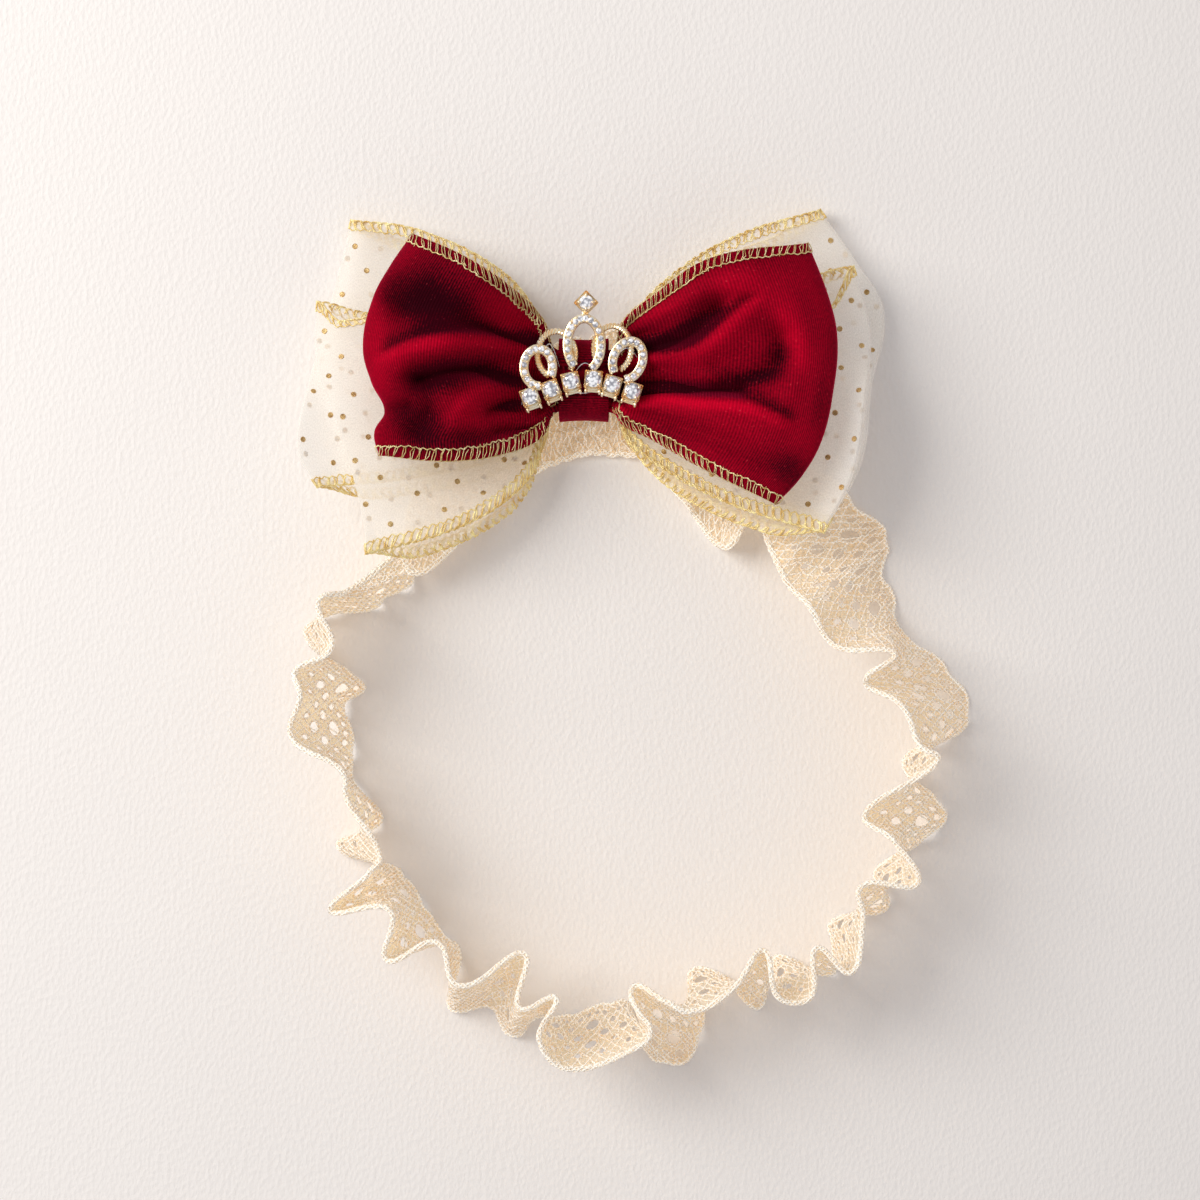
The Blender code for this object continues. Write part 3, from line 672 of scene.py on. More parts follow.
@dataclass(frozen=True)
class Velvet(Finish):
    """Dark-red velvet with fine ribs across the ribbon."""

    name: str = "red_velvet"
    # The stored tone blends the velvet from shade to face: painted shade and painted light on one cloth.
    face: Colour = (0.58, 0.0, 0.020, 1.0)
    shade: Colour = (0.024, 0.0, 0.003, 1.0)
    sheen: Colour = (0.90, 0.015, 0.09, 1.0)
    lint: Colour = (0.62, 0.12, 0.14, 1.0)
    rib: float = 0.62

    def wire(self, board: MaterialBoard) -> None:
        """Ribs and pile that catch light at a slant, over a stored tone of painted shade and highlights.

        Args:
            board: The material's board.
        """
        place = board.woven()
        fibre, patch = board.fuzz(place, 1.7, 0.09)
        waves_in_mm = math.pi / (10.0 * self.rib)
        ribs = board.node("TexWave", None, Vector=place, Scale=waves_in_mm, Distortion=1.1, Detail=1.0,
                          Detail_Scale=0.6).outputs["Fac"]
        # The stored tone holds painted shade in hollows and painted highlights on ridges, with some of the
        # pile's lie. grain adds ribs, random tone and fibre to it.
        pile_and_painted_shade = board.node("Attribute", {"attribute_name": "pile_and_painted_shade"}).outputs["Fac"]
        grain = board.math("MULTIPLY_ADD", ribs, -0.24, pile_and_painted_shade)
        grain = board.math("MULTIPLY_ADD", patch, -0.14, grain)
        grain = board.math("MULTIPLY_ADD", fibre, 0.62, board.math("SUBTRACT", grain, 0.24))
        tone = board.blend(board.spread(grain, 0.0, 1.0), self.shade, self.face)
        lint = board.math("MULTIPLY", board.spread(fibre, 0.70, 0.76), 0.25)
        board.shade(Base_Color=board.blend(lint, tone, self.lint), Roughness=0.75, Specular_IOR_Level=0.03,
                    Sheen_Weight=0.7, Sheen_Roughness=0.4, Sheen_Tint=self.sheen)
        board.bump(board.math("MULTIPLY_ADD", fibre, 0.6, ribs), 0.6, 0.00016)


@dataclass(frozen=True)
class MetalThread(Finish):
    """Gold thread of the stitched edges."""

    name: str = "gold_thread"
    light: Colour = (1.0, 0.88, 0.50, 1.0)
    deep: Colour = (0.62, 0.42, 0.13, 1.0)
    metallic: float = 0.45
    roughness: float = 0.3
    # Painted glow: emission strength, none unless set.
    painted_glow: float = 0.0

    def wire(self, board: MaterialBoard) -> None:
        """Foil wound round a core: a broken glint and darker windings, and a painted glow where it is set.

        Args:
            board: The material's board.
        """
        place = board.solid()
        plait = board.effect("plait", place, Scale=900.0, Waver=3.0).outputs["Height"]
        _, patch = board.fuzz(place, 2600.0, 700.0)
        tone = board.blend(patch, self.light, self.deep)
        board.shade(Base_Color=tone, Emission_Color=tone, Emission_Strength=self.painted_glow,
                    Metallic=self.metallic, Roughness=self.roughness)
        board.bump(plait, 0.7, 0.0001)


@dataclass(frozen=True)
class PolishedGold(Finish):
    """Bright gold plating."""

    name: str = "gold_plating"
    light: Colour = (1.0, 0.90, 0.68, 1.0)
    deep: Colour = (0.95, 0.66, 0.34, 1.0)

    def wire(self, board: MaterialBoard) -> None:
        """Small cast unevenness and duller patches.

        Args:
            board: The material's board.
        """
        fibre, patch = board.fuzz(board.solid(), 1500.0, 420.0)
        board.shade(Base_Color=board.blend(patch, self.light, self.deep), Metallic=0.8,
                    Roughness=board.spread(fibre, 0.3, 0.7, 0.12, 0.30))
        board.bump(fibre, 0.25, 0.00008)


@dataclass(frozen=True)
class Crystal(Finish):
    """Clear cut glass on a bright foil."""

    name: str = "foiled_crystal"
    tint: Colour = (0.98, 0.985, 1.0, 1.0)
    # Painted dark reflections: facet cells are darkened towards this colour.
    dark: Colour = (0.30, 0.30, 0.34, 1.0)

    def wire(self, board: MaterialBoard) -> None:
        """Facets that mirror, with painted dark reflections in some cells, and the same tone given off as
        painted glints.

        Args:
            board: The material's board.
        """
        cells = board.node("TexVoronoi", None, Vector=board.solid(), Scale=1500.0).outputs["Distance"]
        # Painted reflections and glints: cells darken towards dark, and the tone is emitted too.
        tone = board.blend(board.spread(cells, 0.35, 0.75), self.tint, self.dark)
        board.shade(Base_Color=tone, Emission_Color=tone, Emission_Strength=0.25, Metallic=0.55,
                    Roughness=0.05, IOR=1.7, Coat_Weight=1.0, Coat_Roughness=0.02)


@dataclass(frozen=True)
class ClearThread(Finish):
    """Clear nylon sewing thread."""

    name: str = "clear_thread"
    light: Colour = (0.95, 0.95, 0.97, 1.0)
    deep: Colour = (0.80, 0.80, 0.84, 1.0)

    def wire(self, board: MaterialBoard) -> None:
        """Pale and glossy, mostly see-through.

        Args:
            board: The material's board.
        """
        _, patch = board.fuzz(board.solid(), 900.0, 300.0)
        board.shade(Base_Color=board.blend(patch, self.light, self.deep), Alpha=0.35, Roughness=0.08,
                    Specular_IOR_Level=0.9)


@dataclass(frozen=True)
class Leatherette(Finish):
    """The off-white surface that the headband lies on."""

    name: str = "pale_leatherette"
    light: Colour = (0.87, 0.83, 0.80, 1.0)
    deep: Colour = (0.80, 0.76, 0.73, 1.0)

    def wire(self, board: MaterialBoard) -> None:
        """Fine creases and grains.

        Args:
            board: The material's board.
        """
        place = board.solid()
        _, patch = board.fuzz(place, 900.0, 30.0)
        lean = board.node("Mapping", None, Vector=place, Scale=(1.3, 0.85, 1.0)).outputs[0]
        cells = board.node("TexVoronoi", {"voronoi_dimensions": "2D"}, Vector=lean, Scale=760.0)
        creases = board.noise(lean, 980.0, 2.0, flat=True, Distortion=0.35)
        board.shade(Base_Color=board.blend(board.math("MULTIPLY", patch, 0.12), self.light, self.deep),
                    Roughness=0.6, Specular_IOR_Level=0.35)
        board.bump(board.math("MULTIPLY_ADD", cells.outputs["Distance"], 0.9, creases), 0.40, 0.00020)


class Fold(NamedTuple):
    """One fold of the lace: where its upper edge and its scalloped foot lie."""

    top_x: float
    top_y: float
    foot_x: float
    foot_y: float


class Hole(NamedTuple):
    """An oval hole of the lace, in a repeat: its place along and across, and its half-sizes, in mm."""

    along: float
    across: float
    half_along: float
    half_across: float


class Place(NamedTuple):
    """A place seen from above."""

    x: float
    y: float


def places(*pairs: tuple[float, float]) -> tuple[Place, ...]:
    """Places from pairs of numbers, across and up."""
    return tuple(Place(*pair) for pair in pairs)


class Pleat(NamedTuple):
    """A valley in a wing's face, its places across running from 0 at the low edge to 1 at the high one."""

    at_knot: float
    at_middle: float
    at_fold: float
    depth: float
    start: float
    end: float
    width: float


class Crease(NamedTuple):
    """A ridge, or a valley where its rise is below 0, that runs over the velvet as seen from above, in mm."""

    line: tuple[Place, ...]
    rise: float
    above: float
    below: float


class Patch(NamedTuple):
    """A soft-edged patch where the velvet is painted lighter or darker, in mm: painted highlights on ridges
    and painted shade in hollows, partly for the way its pile lies.
    """

    x: float
    y: float
    half_x: float
    half_y: float
    lean: float
    tone: float


LACE_FOLDS = tuple(Fold(*row) for row in (
    (-3.0, 30.0, -3.0, 56.0), (9.0, 28.9, 10.0, 54.5), (17.6, 21.0, 21.0, 47.5), (26.5, 10.8, 34.0, 36.0),
    (32.2, 18.0, 43.0, 31.0), (36.6, 9.5, 57.0, 18.2), (40.0, 2.8, 61.8, 13.0), (44.3, -1.5, 60.2, 7.5),
    (50.0, -10.0, 62.6, 0.0), (62.5, -11.3, 64.0, -6.5), (56.2, -17.5, 74.0, -14.5),
    (64.0, -22.5, 78.4, -22.5), (67.5, -30.5, 76.5, -28.0), (71.3, -35.0, 64.5, -34.5),
    (56.2, -45.3, 73.5, -45.0), (62.5, -51.3, 68.0, -51.5), (67.6, -60.5, 58.7, -57.5),
    (56.0, -60.5, 61.0, -65.5), (56.0, -68.5, 49.7, -68.0), (53.5, -79.3, 49.5, -75.0),
    (46.0, -74.0, 48.5, -80.0), (45.0, -84.5, 38.5, -75.5), (38.0, -84.7, 36.5, -79.0),
    (34.8, -74.4, 33.0, -87.2), (28.5, -82.5, 26.5, -80.0), (20.5, -87.5, 19.0, -79.3),
    (14.0, -85.4, 22.0, -88.5), (8.0, -81.8, 19.0, -97.4), (6.4, -83.8, 13.8, -99.0),
    (8.2, -87.5, 10.0, -96.0), (10.8, -91.5, 7.6, -91.0), (8.0, -95.3, 5.2, -85.3),
    (-6.5, -100.0, -4.0, -87.5), (-13.0, -93.5, -9.0, -88.8), (-9.3, -84.6, -14.0, -89.0),
    (-17.3, -86.4, -18.5, -93.0), (-16.3, -75.0, -24.0, -87.0), (-29.5, -82.0, -32.0, -86.8),
    (-35.0, -72.8, -29.8, -75.5), (-45.5, -76.7, -34.5, -69.5), (-45.0, -66.0, -39.5, -61.5),
    (-57.5, -66.3, -42.3, -58.0), (-49.3, -58.2, -43.8, -56.8), (-47.2, -53.0, -56.2, -52.5),
    (-53.7, -43.0, -46.5, -47.0), (-55.3, -36.0, -52.5, -38.5), (-65.7, -29.5, -52.3, -30.5),
    (-64.0, -20.5, -54.0, -22.0), (-65.0, -15.0, -50.3, -18.0), (-57.0, -10.0, -62.5, -8.5),
    (-60.0, -0.5, -58.0, -3.5), (-54.0, 1.8, -47.5, -1.8), (-50.6, 4.0, -46.0, 0.6),
    (-45.0, 8.5, -41.0, 2.5), (-42.6, 10.0, -39.8, 5.5), (-40.4, 5.8, -41.8, 13.5),
    (-35.8, 6.8, -40.5, 21.0), (-27.5, 14.8, -37.0, 36.0), (-15.5, 25.5, -22.0, 47.0),
))

LACE_HOLES = tuple(Hole(*row) for row in (
    (-3.1, 3.6, 0.70, 1.25), (-1.1, 2.9, 0.65, 1.15), (1.1, 2.9, 0.65, 1.15), (3.1, 3.6, 0.70, 1.25),
    (0.0, 7.7, 1.65, 2.20), (4.95, 7.4, 0.75, 1.50), (-4.95, 7.4, 0.75, 1.50), (-2.9, 12.3, 1.05, 1.55),
    (2.9, 12.3, 1.05, 1.55), (4.95, 16.4, 0.70, 1.10), (-4.95, 16.4, 0.70, 1.10), (0.0, 16.4, 1.25, 1.75),
    (-2.4, 20.6, 0.55, 1.30), (2.4, 20.6, 0.55, 1.30),
))


class Knot(NamedTuple):
    """Where the knot lies, its strap's sizes, and how wide and how far out it pinches the loops, in mm."""

    x: float = -3.4
    y: float = 46.7
    width: float = 10.4
    length: float = 17.7
    wall: float = 1.2
    low: float = 1.5
    high: float = 13.6
    pinch: float = 13.4
    mouth: float = 6.2
    flat_length: float = 58.0


KNOT = Knot()
LACE_LID = ((22.0, 35.0, 55.0, 65.0, 72.0), (0.0, 3.6, 9.0, 16.0, 27.0))


def knot_distance(x: Array, y: Array) -> Array:
    """Distance of seen places from the middle of the knot."""
    return np.hypot(x - KNOT.x, y - KNOT.y)


def lace_lid(x: Array, y: Array) -> Array:
    """Greatest height of the lace at a place, where the bow presses on it."""
    return np.interp(knot_distance(x, y), *LACE_LID)


@dataclass
class HolePlan:
    """How the holes of the lace are cut out of its grid."""

    repeats: int
    repeat_length: float
    width: float
    plain: Callable[[Array], Array]

    def nearest(self, spots: Array) -> tuple[Array, Array, Array]:
        """The hole that each spot is in, or nearest to.

        Args:
            spots: Parts along and across the lace, from 0 to 1.

        Returns:
            How far out of the hole each spot is, with 1 at its rim, and the hole's middle along and across.
        """
        along_mm = spots[:, 0] * self.repeats * self.repeat_length
        across_mm = spots[:, 1] * self.width
        repeat = np.floor(along_mm / self.repeat_length)
        local = along_mm - (repeat + 0.5) * self.repeat_length
        share = np.full(len(spots), np.inf)
        middle = np.zeros((len(spots), 2))
        for hole in LACE_HOLES:
            here = np.hypot((local - hole.along) / hole.half_along,
                            (across_mm - hole.across) / hole.half_across)
            closer = here < share
            share = np.where(closer, here, share)
            middle[closer] = (hole.along, hole.across)
        start = (repeat + 0.5) * self.repeat_length
        middle[:, 0] = (middle[:, 0] + start) / (self.repeats * self.repeat_length)
        middle[:, 1] /= self.width
        return share, middle[:, 0], middle[:, 1]

    def cut(self, shape: BMesh, spots: Array) -> Array:
        """Cut the holes and draw their rims onto the ovals.

        Args:
            shape: The flat grid.
            spots: Its vertices' parts along and across.

        Returns:
            The spots of the vertices that are left.
        """
        shape.verts.index_update()
        corners = [[spots[vert.index] for vert in face.verts] for face in shape.faces]
        centres = np.array([np.mean(each, axis=0) for each in corners])
        share, _, _ = self.nearest(centres)
        goes = (share < 1.0) & ~self.plain(centres[:, 0])
        spots = spots.copy()
        rim = set()
        for face, away in zip(shape.faces, goes):
            if away:
                rim.update(vert.index for vert in face.verts)
        doomed = [face for face, away in zip(shape.faces, goes) if away]
        rim = np.array(sorted(rim))
        shares, middle_along, middle_across = self.nearest(spots[rim])
        pull = 1.0 / np.maximum(shares, 0.35)
        spots[rim, 0] = middle_along + (spots[rim, 0] - middle_along) * pull
        spots[rim, 1] = middle_across + (spots[rim, 1] - middle_across) * pull
        kept = {vert.index: vert for vert in shape.verts}
        bmesh.ops.delete(shape, geom=doomed, context="FACES")
        order = [index for index, vert in kept.items() if vert.is_valid]
        return spots[order]


class Waver(NamedTuple):
    """How strands waver: by how many mm, in how many waves the first does, and how many more each next."""

    size: float
    waves: int
    more: int

    def at(self, strand: int, part: Array) -> Array:
        """How far a strand strays, in metres, at parts of its length."""
        return self.size * MM * np.sin(math.tau * (self.waves + self.more * strand) * part)


@dataclass
class LaceBand:
    """The gathered loop of cotton lace: its openwork, its thick heading and its scalloped foot."""

    width: float = 27.0
    foot_wall: float = 1.1
    repeats: int = 58
    columns_in_repeat: int = 22
    rows: int = 58
    thread: float = 0.25
    thread_spacing: float = 2.1
    thread_lean: float = 12.0
    scallop: float = 1.5
    crumple: float = 0.75
    crumple_ends: tuple[float, float] = (18.0, 30.0)
    lid_blend: float = 2.0
    ground_radius: float = 0.18
    heading_radius: float = 0.26
    heading_spread: tuple[float, float] = (0.34, 0.44)
    heading_pitch: float = 13.0
    heading_strands: int = 5
    waver_across: Waver = Waver(0.09, 331, 41)
    waver_up: Waver = Waver(0.07, 257, 29)
    foot_radius: float = 0.27
    foot_spread: float = 0.22
    foot_pitch: float = 1.8
    plain_reach: float = 12.0
    solid_share: float = 0.70
    stations: Array = field(init=False)
    station_runs: Array = field(init=False)
    length: float = field(init=False)

    def __post_init__(self) -> None:
        """Measure the lace along its two edges."""
        fine = np.linspace(0.0, len(LACE_FOLDS), 40 * len(LACE_FOLDS) + 1)
        foot = self.surface_at(fine, np.zeros_like(fine))
        top = self.surface_at(fine, np.ones_like(fine))
        runs = 0.5 * (path_length(foot) + path_length(top))
        self.stations = fine
        self.station_runs = runs / runs[-1]
        self.length = runs[-1] / MM

    def surface_at(self, at: Array, rise: Array) -> Array:
        """Points of the lace.

        Args:
            at: Places along it, counted in folds.
            rise: Places across it, from 0 at the foot to 1 at the heading.

        Returns:
            Points in metres.
        """
        ends = curve_through(LACE_FOLDS, at, closed=True)
        top_x, top_y, foot_x, foot_y = np.moveaxis(ends, -1, 0)
        spread = np.hypot(top_x - foot_x, top_y - foot_y)
        stand = np.sqrt(np.maximum(self.width**2 - spread**2, 0.0))
        x = mix(foot_x, top_x, rise)
        y = mix(foot_y, top_y, rise)
        free = stand * rise
        lid = lace_lid(x, y)
        near = np.maximum(self.lid_blend - np.abs(free - lid), 0.0) / self.lid_blend
        height = np.maximum(np.minimum(free, lid) - 0.25 * self.lid_blend * near * near, 0.0)
        slope = np.minimum(stand, lace_lid(top_x, top_y))
        foot_height = 0.5 * self.foot_wall * np.sqrt(spread / np.hypot(spread, slope))
        crumple = 1.0 + np.sin(1.25 * x + 1.6 * np.sin(0.8 * y)) * np.sin(1.15 * y + 0.7 * x)
        crumple = self.crumple * crumple * (1.0 - smooth(knot_distance(x, y), *self.crumple_ends))
        return CHART.to_frame(x + 0.5 * crumple, y + 0.8 * crumple, height + foot_height + crumple)

    def place(self, part: Array, rise: Array) -> Array:
        """Points of the lace at parts of its length, in metres."""
        return self.surface_at(np.interp(part, self.station_runs, self.stations), rise)

    def scalloped(self, part: Array, across: Array) -> Array:
        """Points of the lace with its foot drawn into scallops.

        Args:
            part: Parts of its length, from 0 to 1.
            across: Places across it, from 0 at the foot to 1 at the heading.

        Returns:
            Points in metres.
        """
        notch = 0.5 - 0.5 * np.cos(math.tau * part * self.repeats)
        depth = self.scallop / self.width * (1.0 - notch) ** 2
        return self.place(part, depth + (1.0 - depth) * across)

    def is_plain(self, part: Array) -> Array:
        """Whether the lace is whole there, as under the knot."""
        middle = self.place(part, np.full_like(part, 0.5)) / MM
        return knot_distance(middle[:, 0] - CHART.origin_x, middle[:, 1] - CHART.origin_y) < self.plain_reach

    def plan(self) -> HolePlan:
        """The plan of its holes."""
        return HolePlan(self.repeats, self.length / self.repeats, self.width, self.is_plain)

    def cloth(self) -> Piece:
        """The openwork.

        Returns:
            The piece.
        """
        shape = grid_shape(self.repeats * self.columns_in_repeat, self.rows, self.scalloped,
                           (self.length, self.width), closed=True, holes=self.plan())
        piece = new_piece(shape, "lace_openwork", CottonLace())
        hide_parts("lace_band")
        return piece

    def ground_threads(self) -> Piece:
        """Threads that cross on the slant from edge to edge, and part round the holes.

        Returns:
            The piece.
        """
        plan = self.plan()
        chance = np.random.default_rng(11)
        count = int(self.length / self.thread_spacing)
        rise = np.linspace(0.0, 0.97, 34)
        bends = np.linspace(0.0, 1.0, 12)
        clear = 1.0 + 0.9 * self.thread
        paths = []
        for lean in (-1.0, 1.0):
            for index in range(count):
                waver = np.interp(rise, bends, chance.normal(0.0, 0.35, len(bends))) / self.length
                run = (index + 0.5) / count + lean * (rise - 0.5) * self.thread_lean / self.length + waver
                run = run % 1.0
                share, middle_along, middle_across = plan.nearest(np.stack((run, rise), axis=-1))
                push = np.where((share < clear) & ~plan.plain(run), clear / np.maximum(share, 0.2), 1.0)
                run = middle_along + (run - middle_along) * push
                across = np.clip(middle_across + (rise - middle_across) * push, 0.0, 1.0)
                paths.append(self.scalloped(run % 1.0, across))
        # Painted shade in the gaps and a painted warm glow, as on the openwork.
        look = CottonLace(name="cream_ground", light=(1.0, 0.99, 0.96, 1.0), deep=(0.97, 0.84, 0.64, 1.0),
                          painted_glow_light=(1.0, 0.93, 0.79, 1.0), painted_glow=0.34, use_weave=False, let_through=0.15)
        return thread_piece("lace_ground_threads", look, ((paths, self.ground_radius),))

    def hole_threads(self) -> Piece:
        """The threads worked round every hole.

        Returns:
            The piece.
        """
        sides = 11
        angle = np.arange(sides) * math.tau / sides
        repeat_length = self.length / self.repeats
        spread = 0.8 * self.thread
        rings = []
        for hole in LACE_HOLES:
            shared_with_next = hole.along < -0.49 * repeat_length
            local = hole.along + (hole.half_along + spread) * np.cos(angle)
            across = (hole.across + (hole.half_across + spread) * np.sin(angle)) / self.width
            for repeat in range(0 if shared_with_next else self.repeats):
                part = (repeat + 0.5 + local / repeat_length) / self.repeats
                if not self.is_plain(part[:1])[0]:
                    rings.append(self.scalloped(part % 1.0, across))
        # Painted shade in the gaps and a painted warm glow, as on the openwork.
        look = CottonLace(name="cream_thread", painted_glow_light=(1.0, 0.90, 0.72, 1.0), painted_glow=0.30,
                          use_weave=False, let_through=0.2)
        return thread_piece("lace_hole_threads", look, ((rings, self.thread),), cyclic=True)

    def cords(self) -> Piece:
        """The thick heading along the upper edge, and the fine cord along the scallops.

        Returns:
            The piece.
        """
        part = np.linspace(0.0, 1.0, int(self.length / 0.45))[:-1]
        top = self.place(part, np.ones_like(part))
        below = self.place(part, np.full_like(part, 0.93))
        up = unit(top - below)
        spread = tuple(value * MM for value in self.heading_spread)
        heading = twisted(mix(top, below, 0.22), up, spread, self.heading_pitch * MM, self.heading_strands)
        for index, strand in enumerate(heading):
            strand += up * self.waver_across.at(index, part)[:, None]
            strand[:, 2] += self.waver_up.at(index, part)
        edge = self.scalloped(part, np.zeros_like(part))
        edge[:, 2] = np.maximum(edge[:, 2] + 0.05 * MM, 0.45 * MM)
        foot = twisted(edge, up, (self.foot_spread * MM, self.foot_spread * MM), self.foot_pitch * MM, 2)
        # Painted shade in the gaps and a painted warm glow, as on the openwork.
        look = CottonLace(name="cream_cord", light=(1.0, 0.99, 0.96, 1.0), deep=(0.98, 0.86, 0.66, 1.0),
                          painted_glow_light=(1.0, 0.92, 0.76, 1.0), painted_glow=0.32, use_weave=False, let_through=0.10)
        return thread_piece("lace_cords", look,
                            ((heading, self.heading_radius), (foot, self.foot_radius)), cyclic=True)

    def build(self) -> None:
        """Make the band."""
        cloth = self.cloth()
        cords = self.cords()
        threads = self.hole_threads()
        ground = self.ground_threads()


@dataclass(frozen=True)
class Wing:
    """One half of a ribbon loop: its two edges from the knot out, and its outer fold between their ends."""

    low_edge: tuple[Place, ...]
    high_edge: tuple[Place, ...]
    fold: tuple[Place, ...]
    pleats: tuple[Pleat, ...] = ()

    def plan(self, out: Array, across: Array) -> tuple[Array, Array]:
        """Seen places on the wing.

        Args:
            out: Parts of the way from the knot to the outer fold.
            across: Parts of the way from the low to the high edge.

        Returns:
            The places across and up, in mm.
        """
        corner_low = self.low_edge[-1]
        corner_high = self.high_edge[-1]
        pinch_low = Place(KNOT.x, KNOT.y - 0.5 * KNOT.pinch)
        pinch_high = Place(KNOT.x, KNOT.y + 0.5 * KNOT.pinch)
        mouth = KNOT.x + math.copysign(KNOT.mouth, corner_low.x)
        low = along((pinch_low, Place(mouth, pinch_low.y)) + self.low_edge, out)
        high = along((pinch_high, Place(mouth, pinch_high.y)) + self.high_edge, out)
        fold = along((corner_low, *self.fold, corner_high), across)
        out = out[..., None]
        across = across[..., None]
        pinch = np.array(pinch_low) + (np.array(pinch_high) - np.array(pinch_low)) * across
        low_chord = (1.0 - out) * np.array(pinch_low) + out * np.array(corner_low)
        high_chord = (1.0 - out) * np.array(pinch_high) + out * np.array(corner_high)
        edges = (1.0 - across) * (low - low_chord) + across * (high - high_chord)
        seen = (1.0 - out) * pinch + out * fold + edges
        return seen[..., 0], seen[..., 1]

    def valley(self, out: Array, across: Array) -> Array:
        """Depth of the pleats at places on the wing's face.

        Args:
            out: Parts of the way from the knot to the outer fold.
            across: Parts of the way from the low to the high edge.

        Returns:
            The depths in mm.
        """
        depth = np.zeros(np.broadcast(out, across).shape)
        for pleat in self.pleats:
            inner = mix(pleat.at_knot, pleat.at_middle, smooth(out, 0.0, 0.5))
            outer = mix(pleat.at_middle, pleat.at_fold, smooth(out, 0.5, 1.0))
            line = np.where(out < 0.5, inner, outer)
            ease = 0.3 * (pleat.end - pleat.start)
            run = smooth(out, pleat.start, pleat.start + ease)
            run = run * (1.0 - smooth(out, pleat.end - ease, pleat.end))
            depth = depth + pleat.depth * run * np.exp(-(((across - line) / pleat.width) ** 2))
        return depth


@dataclass(frozen=True)
class Layer:
    """How thick a loop is at the knot and in its wings, in mm, and how square its outer fold is."""

    knot: float
    high_side: float
    low_side: float
    wall: float
    squareness: float
    fold_share: float


LAYERS = (
    Layer(2.4, 6.0, 4.8, 1.0, 3.4, 0.42),
    Layer(2.4, 6.5, 5.0, 1.0, 3.4, 0.42),
    Layer(3.3, 12.0, 10.5, 1.2, 3.0, 0.22),
)
PINCH_LIFT = 3.0
FLOOR_GAP = 1.0
LACE_GAP = 1.3
LAYER_GAP = 0.4
SHARP_RISE = 2.0
# Painted highlight on sharp ridges and painted shade just above them: their reach and strengths.
RIDGE_REACH = 3.6
RIDGE_PAINTED_HIGHLIGHT = 0.16
RIDGE_SHADE = 0.34


def layer_heights(index: int, x: Array, y: Array) -> tuple[Array, Array]:
    """Lowest and highest point of a loop's space.

    Args:
        index: The loop's place in the stack, from the lowest.
        x: Seen places across, in mm.
        y: Seen places up, in mm.

    Returns:
        The two heights in mm.
    """
    spread = smooth(knot_distance(x, y), 11.0, 33.0)
    low_side = smooth(y, 56.0, 40.0)
    over_floor = mix(PINCH_LIFT, FLOOR_GAP, spread)
    over_lace = np.maximum(PINCH_LIFT, lace_lid(x, y) + LACE_GAP)
    low = mix(over_floor, over_lace, low_side)
    high = low
    for layer in LAYERS[: index + 1]:
        if layer is not LAYERS[0]:
            low = high + LAYER_GAP
        high = low + mix(layer.knot, mix(layer.high_side, layer.low_side, low_side), spread)
    return low, high


def beside(line: Sequence[Place], x: Array, y: Array) -> tuple[Array, Array]:
    """Distance of seen places from a line, and how far above it they are.

    Args:
        line: Points that the line runs smoothly through, from left to right.
        x: Places across, in mm.
        y: Places up, in mm.

    Returns:
        The distances, and the distances square to the nearest stretch, above 0 on its upper side.
    """
    points = along(line, np.linspace(0.0, 1.0, 6 * len(line)))
    nearest = np.full(x.shape, np.inf)
    side = np.zeros(x.shape)
    for first, second in zip(points[:-1], points[1:]):
        run = second - first
        length = max(float(np.hypot(*run)), 1e-6)
        part = np.clip(((x - first[0]) * run[0] + (y - first[1]) * run[1]) / length**2, 0.0, 1.0)
        away = np.hypot(x - first[0] - part * run[0], y - first[1] - part * run[1])
        upward = ((y - first[1]) * run[0] - (x - first[0]) * run[1]) / length
        closer = away < nearest
        nearest = np.where(closer, away, nearest)
        side = np.where(closer, upward, side)
    return nearest, side


def relief(creases: Sequence[Crease], x: Array, y: Array) -> Array:
    """Height that creases add.

    Args:
        creases: The creases.
        x: Seen places across, in mm.
        y: Seen places up, in mm.

    Returns:
        The heights in mm.
    """
    height = np.zeros(x.shape)
    for crease in creases:
        away, side = beside(crease.line, x, y)
        width = mix(crease.below, crease.above, smooth(side, -1.0, 1.0))
        height = height + crease.rise * np.exp(-((away / width) ** 2))
    return height


def patch_painted_light_and_shade(patches: Sequence[Patch], x: Array, y: Array, base: float) -> Array:
    """How light the pile looks, with patches of painted shade and highlights.

    Args:
        patches: Where it is painted lighter or darker than elsewhere.
        x: Seen places across, in mm.
        y: Seen places up, in mm.
        base: How light it looks elsewhere.

    Returns:
        The tones, which may reach past 0 and 1.
    """
    tone = np.full(x.shape, base)
    for patch in patches:
        turn = math.radians(patch.lean)
        right = ((x - patch.x) * math.cos(turn) + (y - patch.y) * math.sin(turn)) / patch.half_x
        up = ((y - patch.y) * math.cos(turn) - (x - patch.x) * math.sin(turn)) / patch.half_y
        tone = tone + patch.tone * np.exp(-((right**2 + up**2) ** 1.3))
    return tone


def ridge_painted_highlight_and_shade(creases: Sequence[Crease], x: Array, y: Array) -> Array:
    """Painted shade just above each sharp ridge, and a painted highlight on it.

    Args:
        creases: The creases, of which those with a rise of at least SHARP_RISE are sharp.
        x: Seen places across, in mm.
        y: Seen places up, in mm.

    Returns:
        What is added to the pile's tone.
    """
    tone = np.zeros(x.shape)
    for crease in creases:
        if crease.rise >= SHARP_RISE:
            away, side = beside(crease.line, x, y)
            near = np.exp(-((away / RIDGE_REACH) ** 4))
            painted_highlight = RIDGE_PAINTED_HIGHLIGHT * np.exp(-(((side + 0.7) / 0.9) ** 2))
            tone = tone + near * (painted_highlight - RIDGE_SHADE * smooth(side, 0.2, 1.4))
    return tone


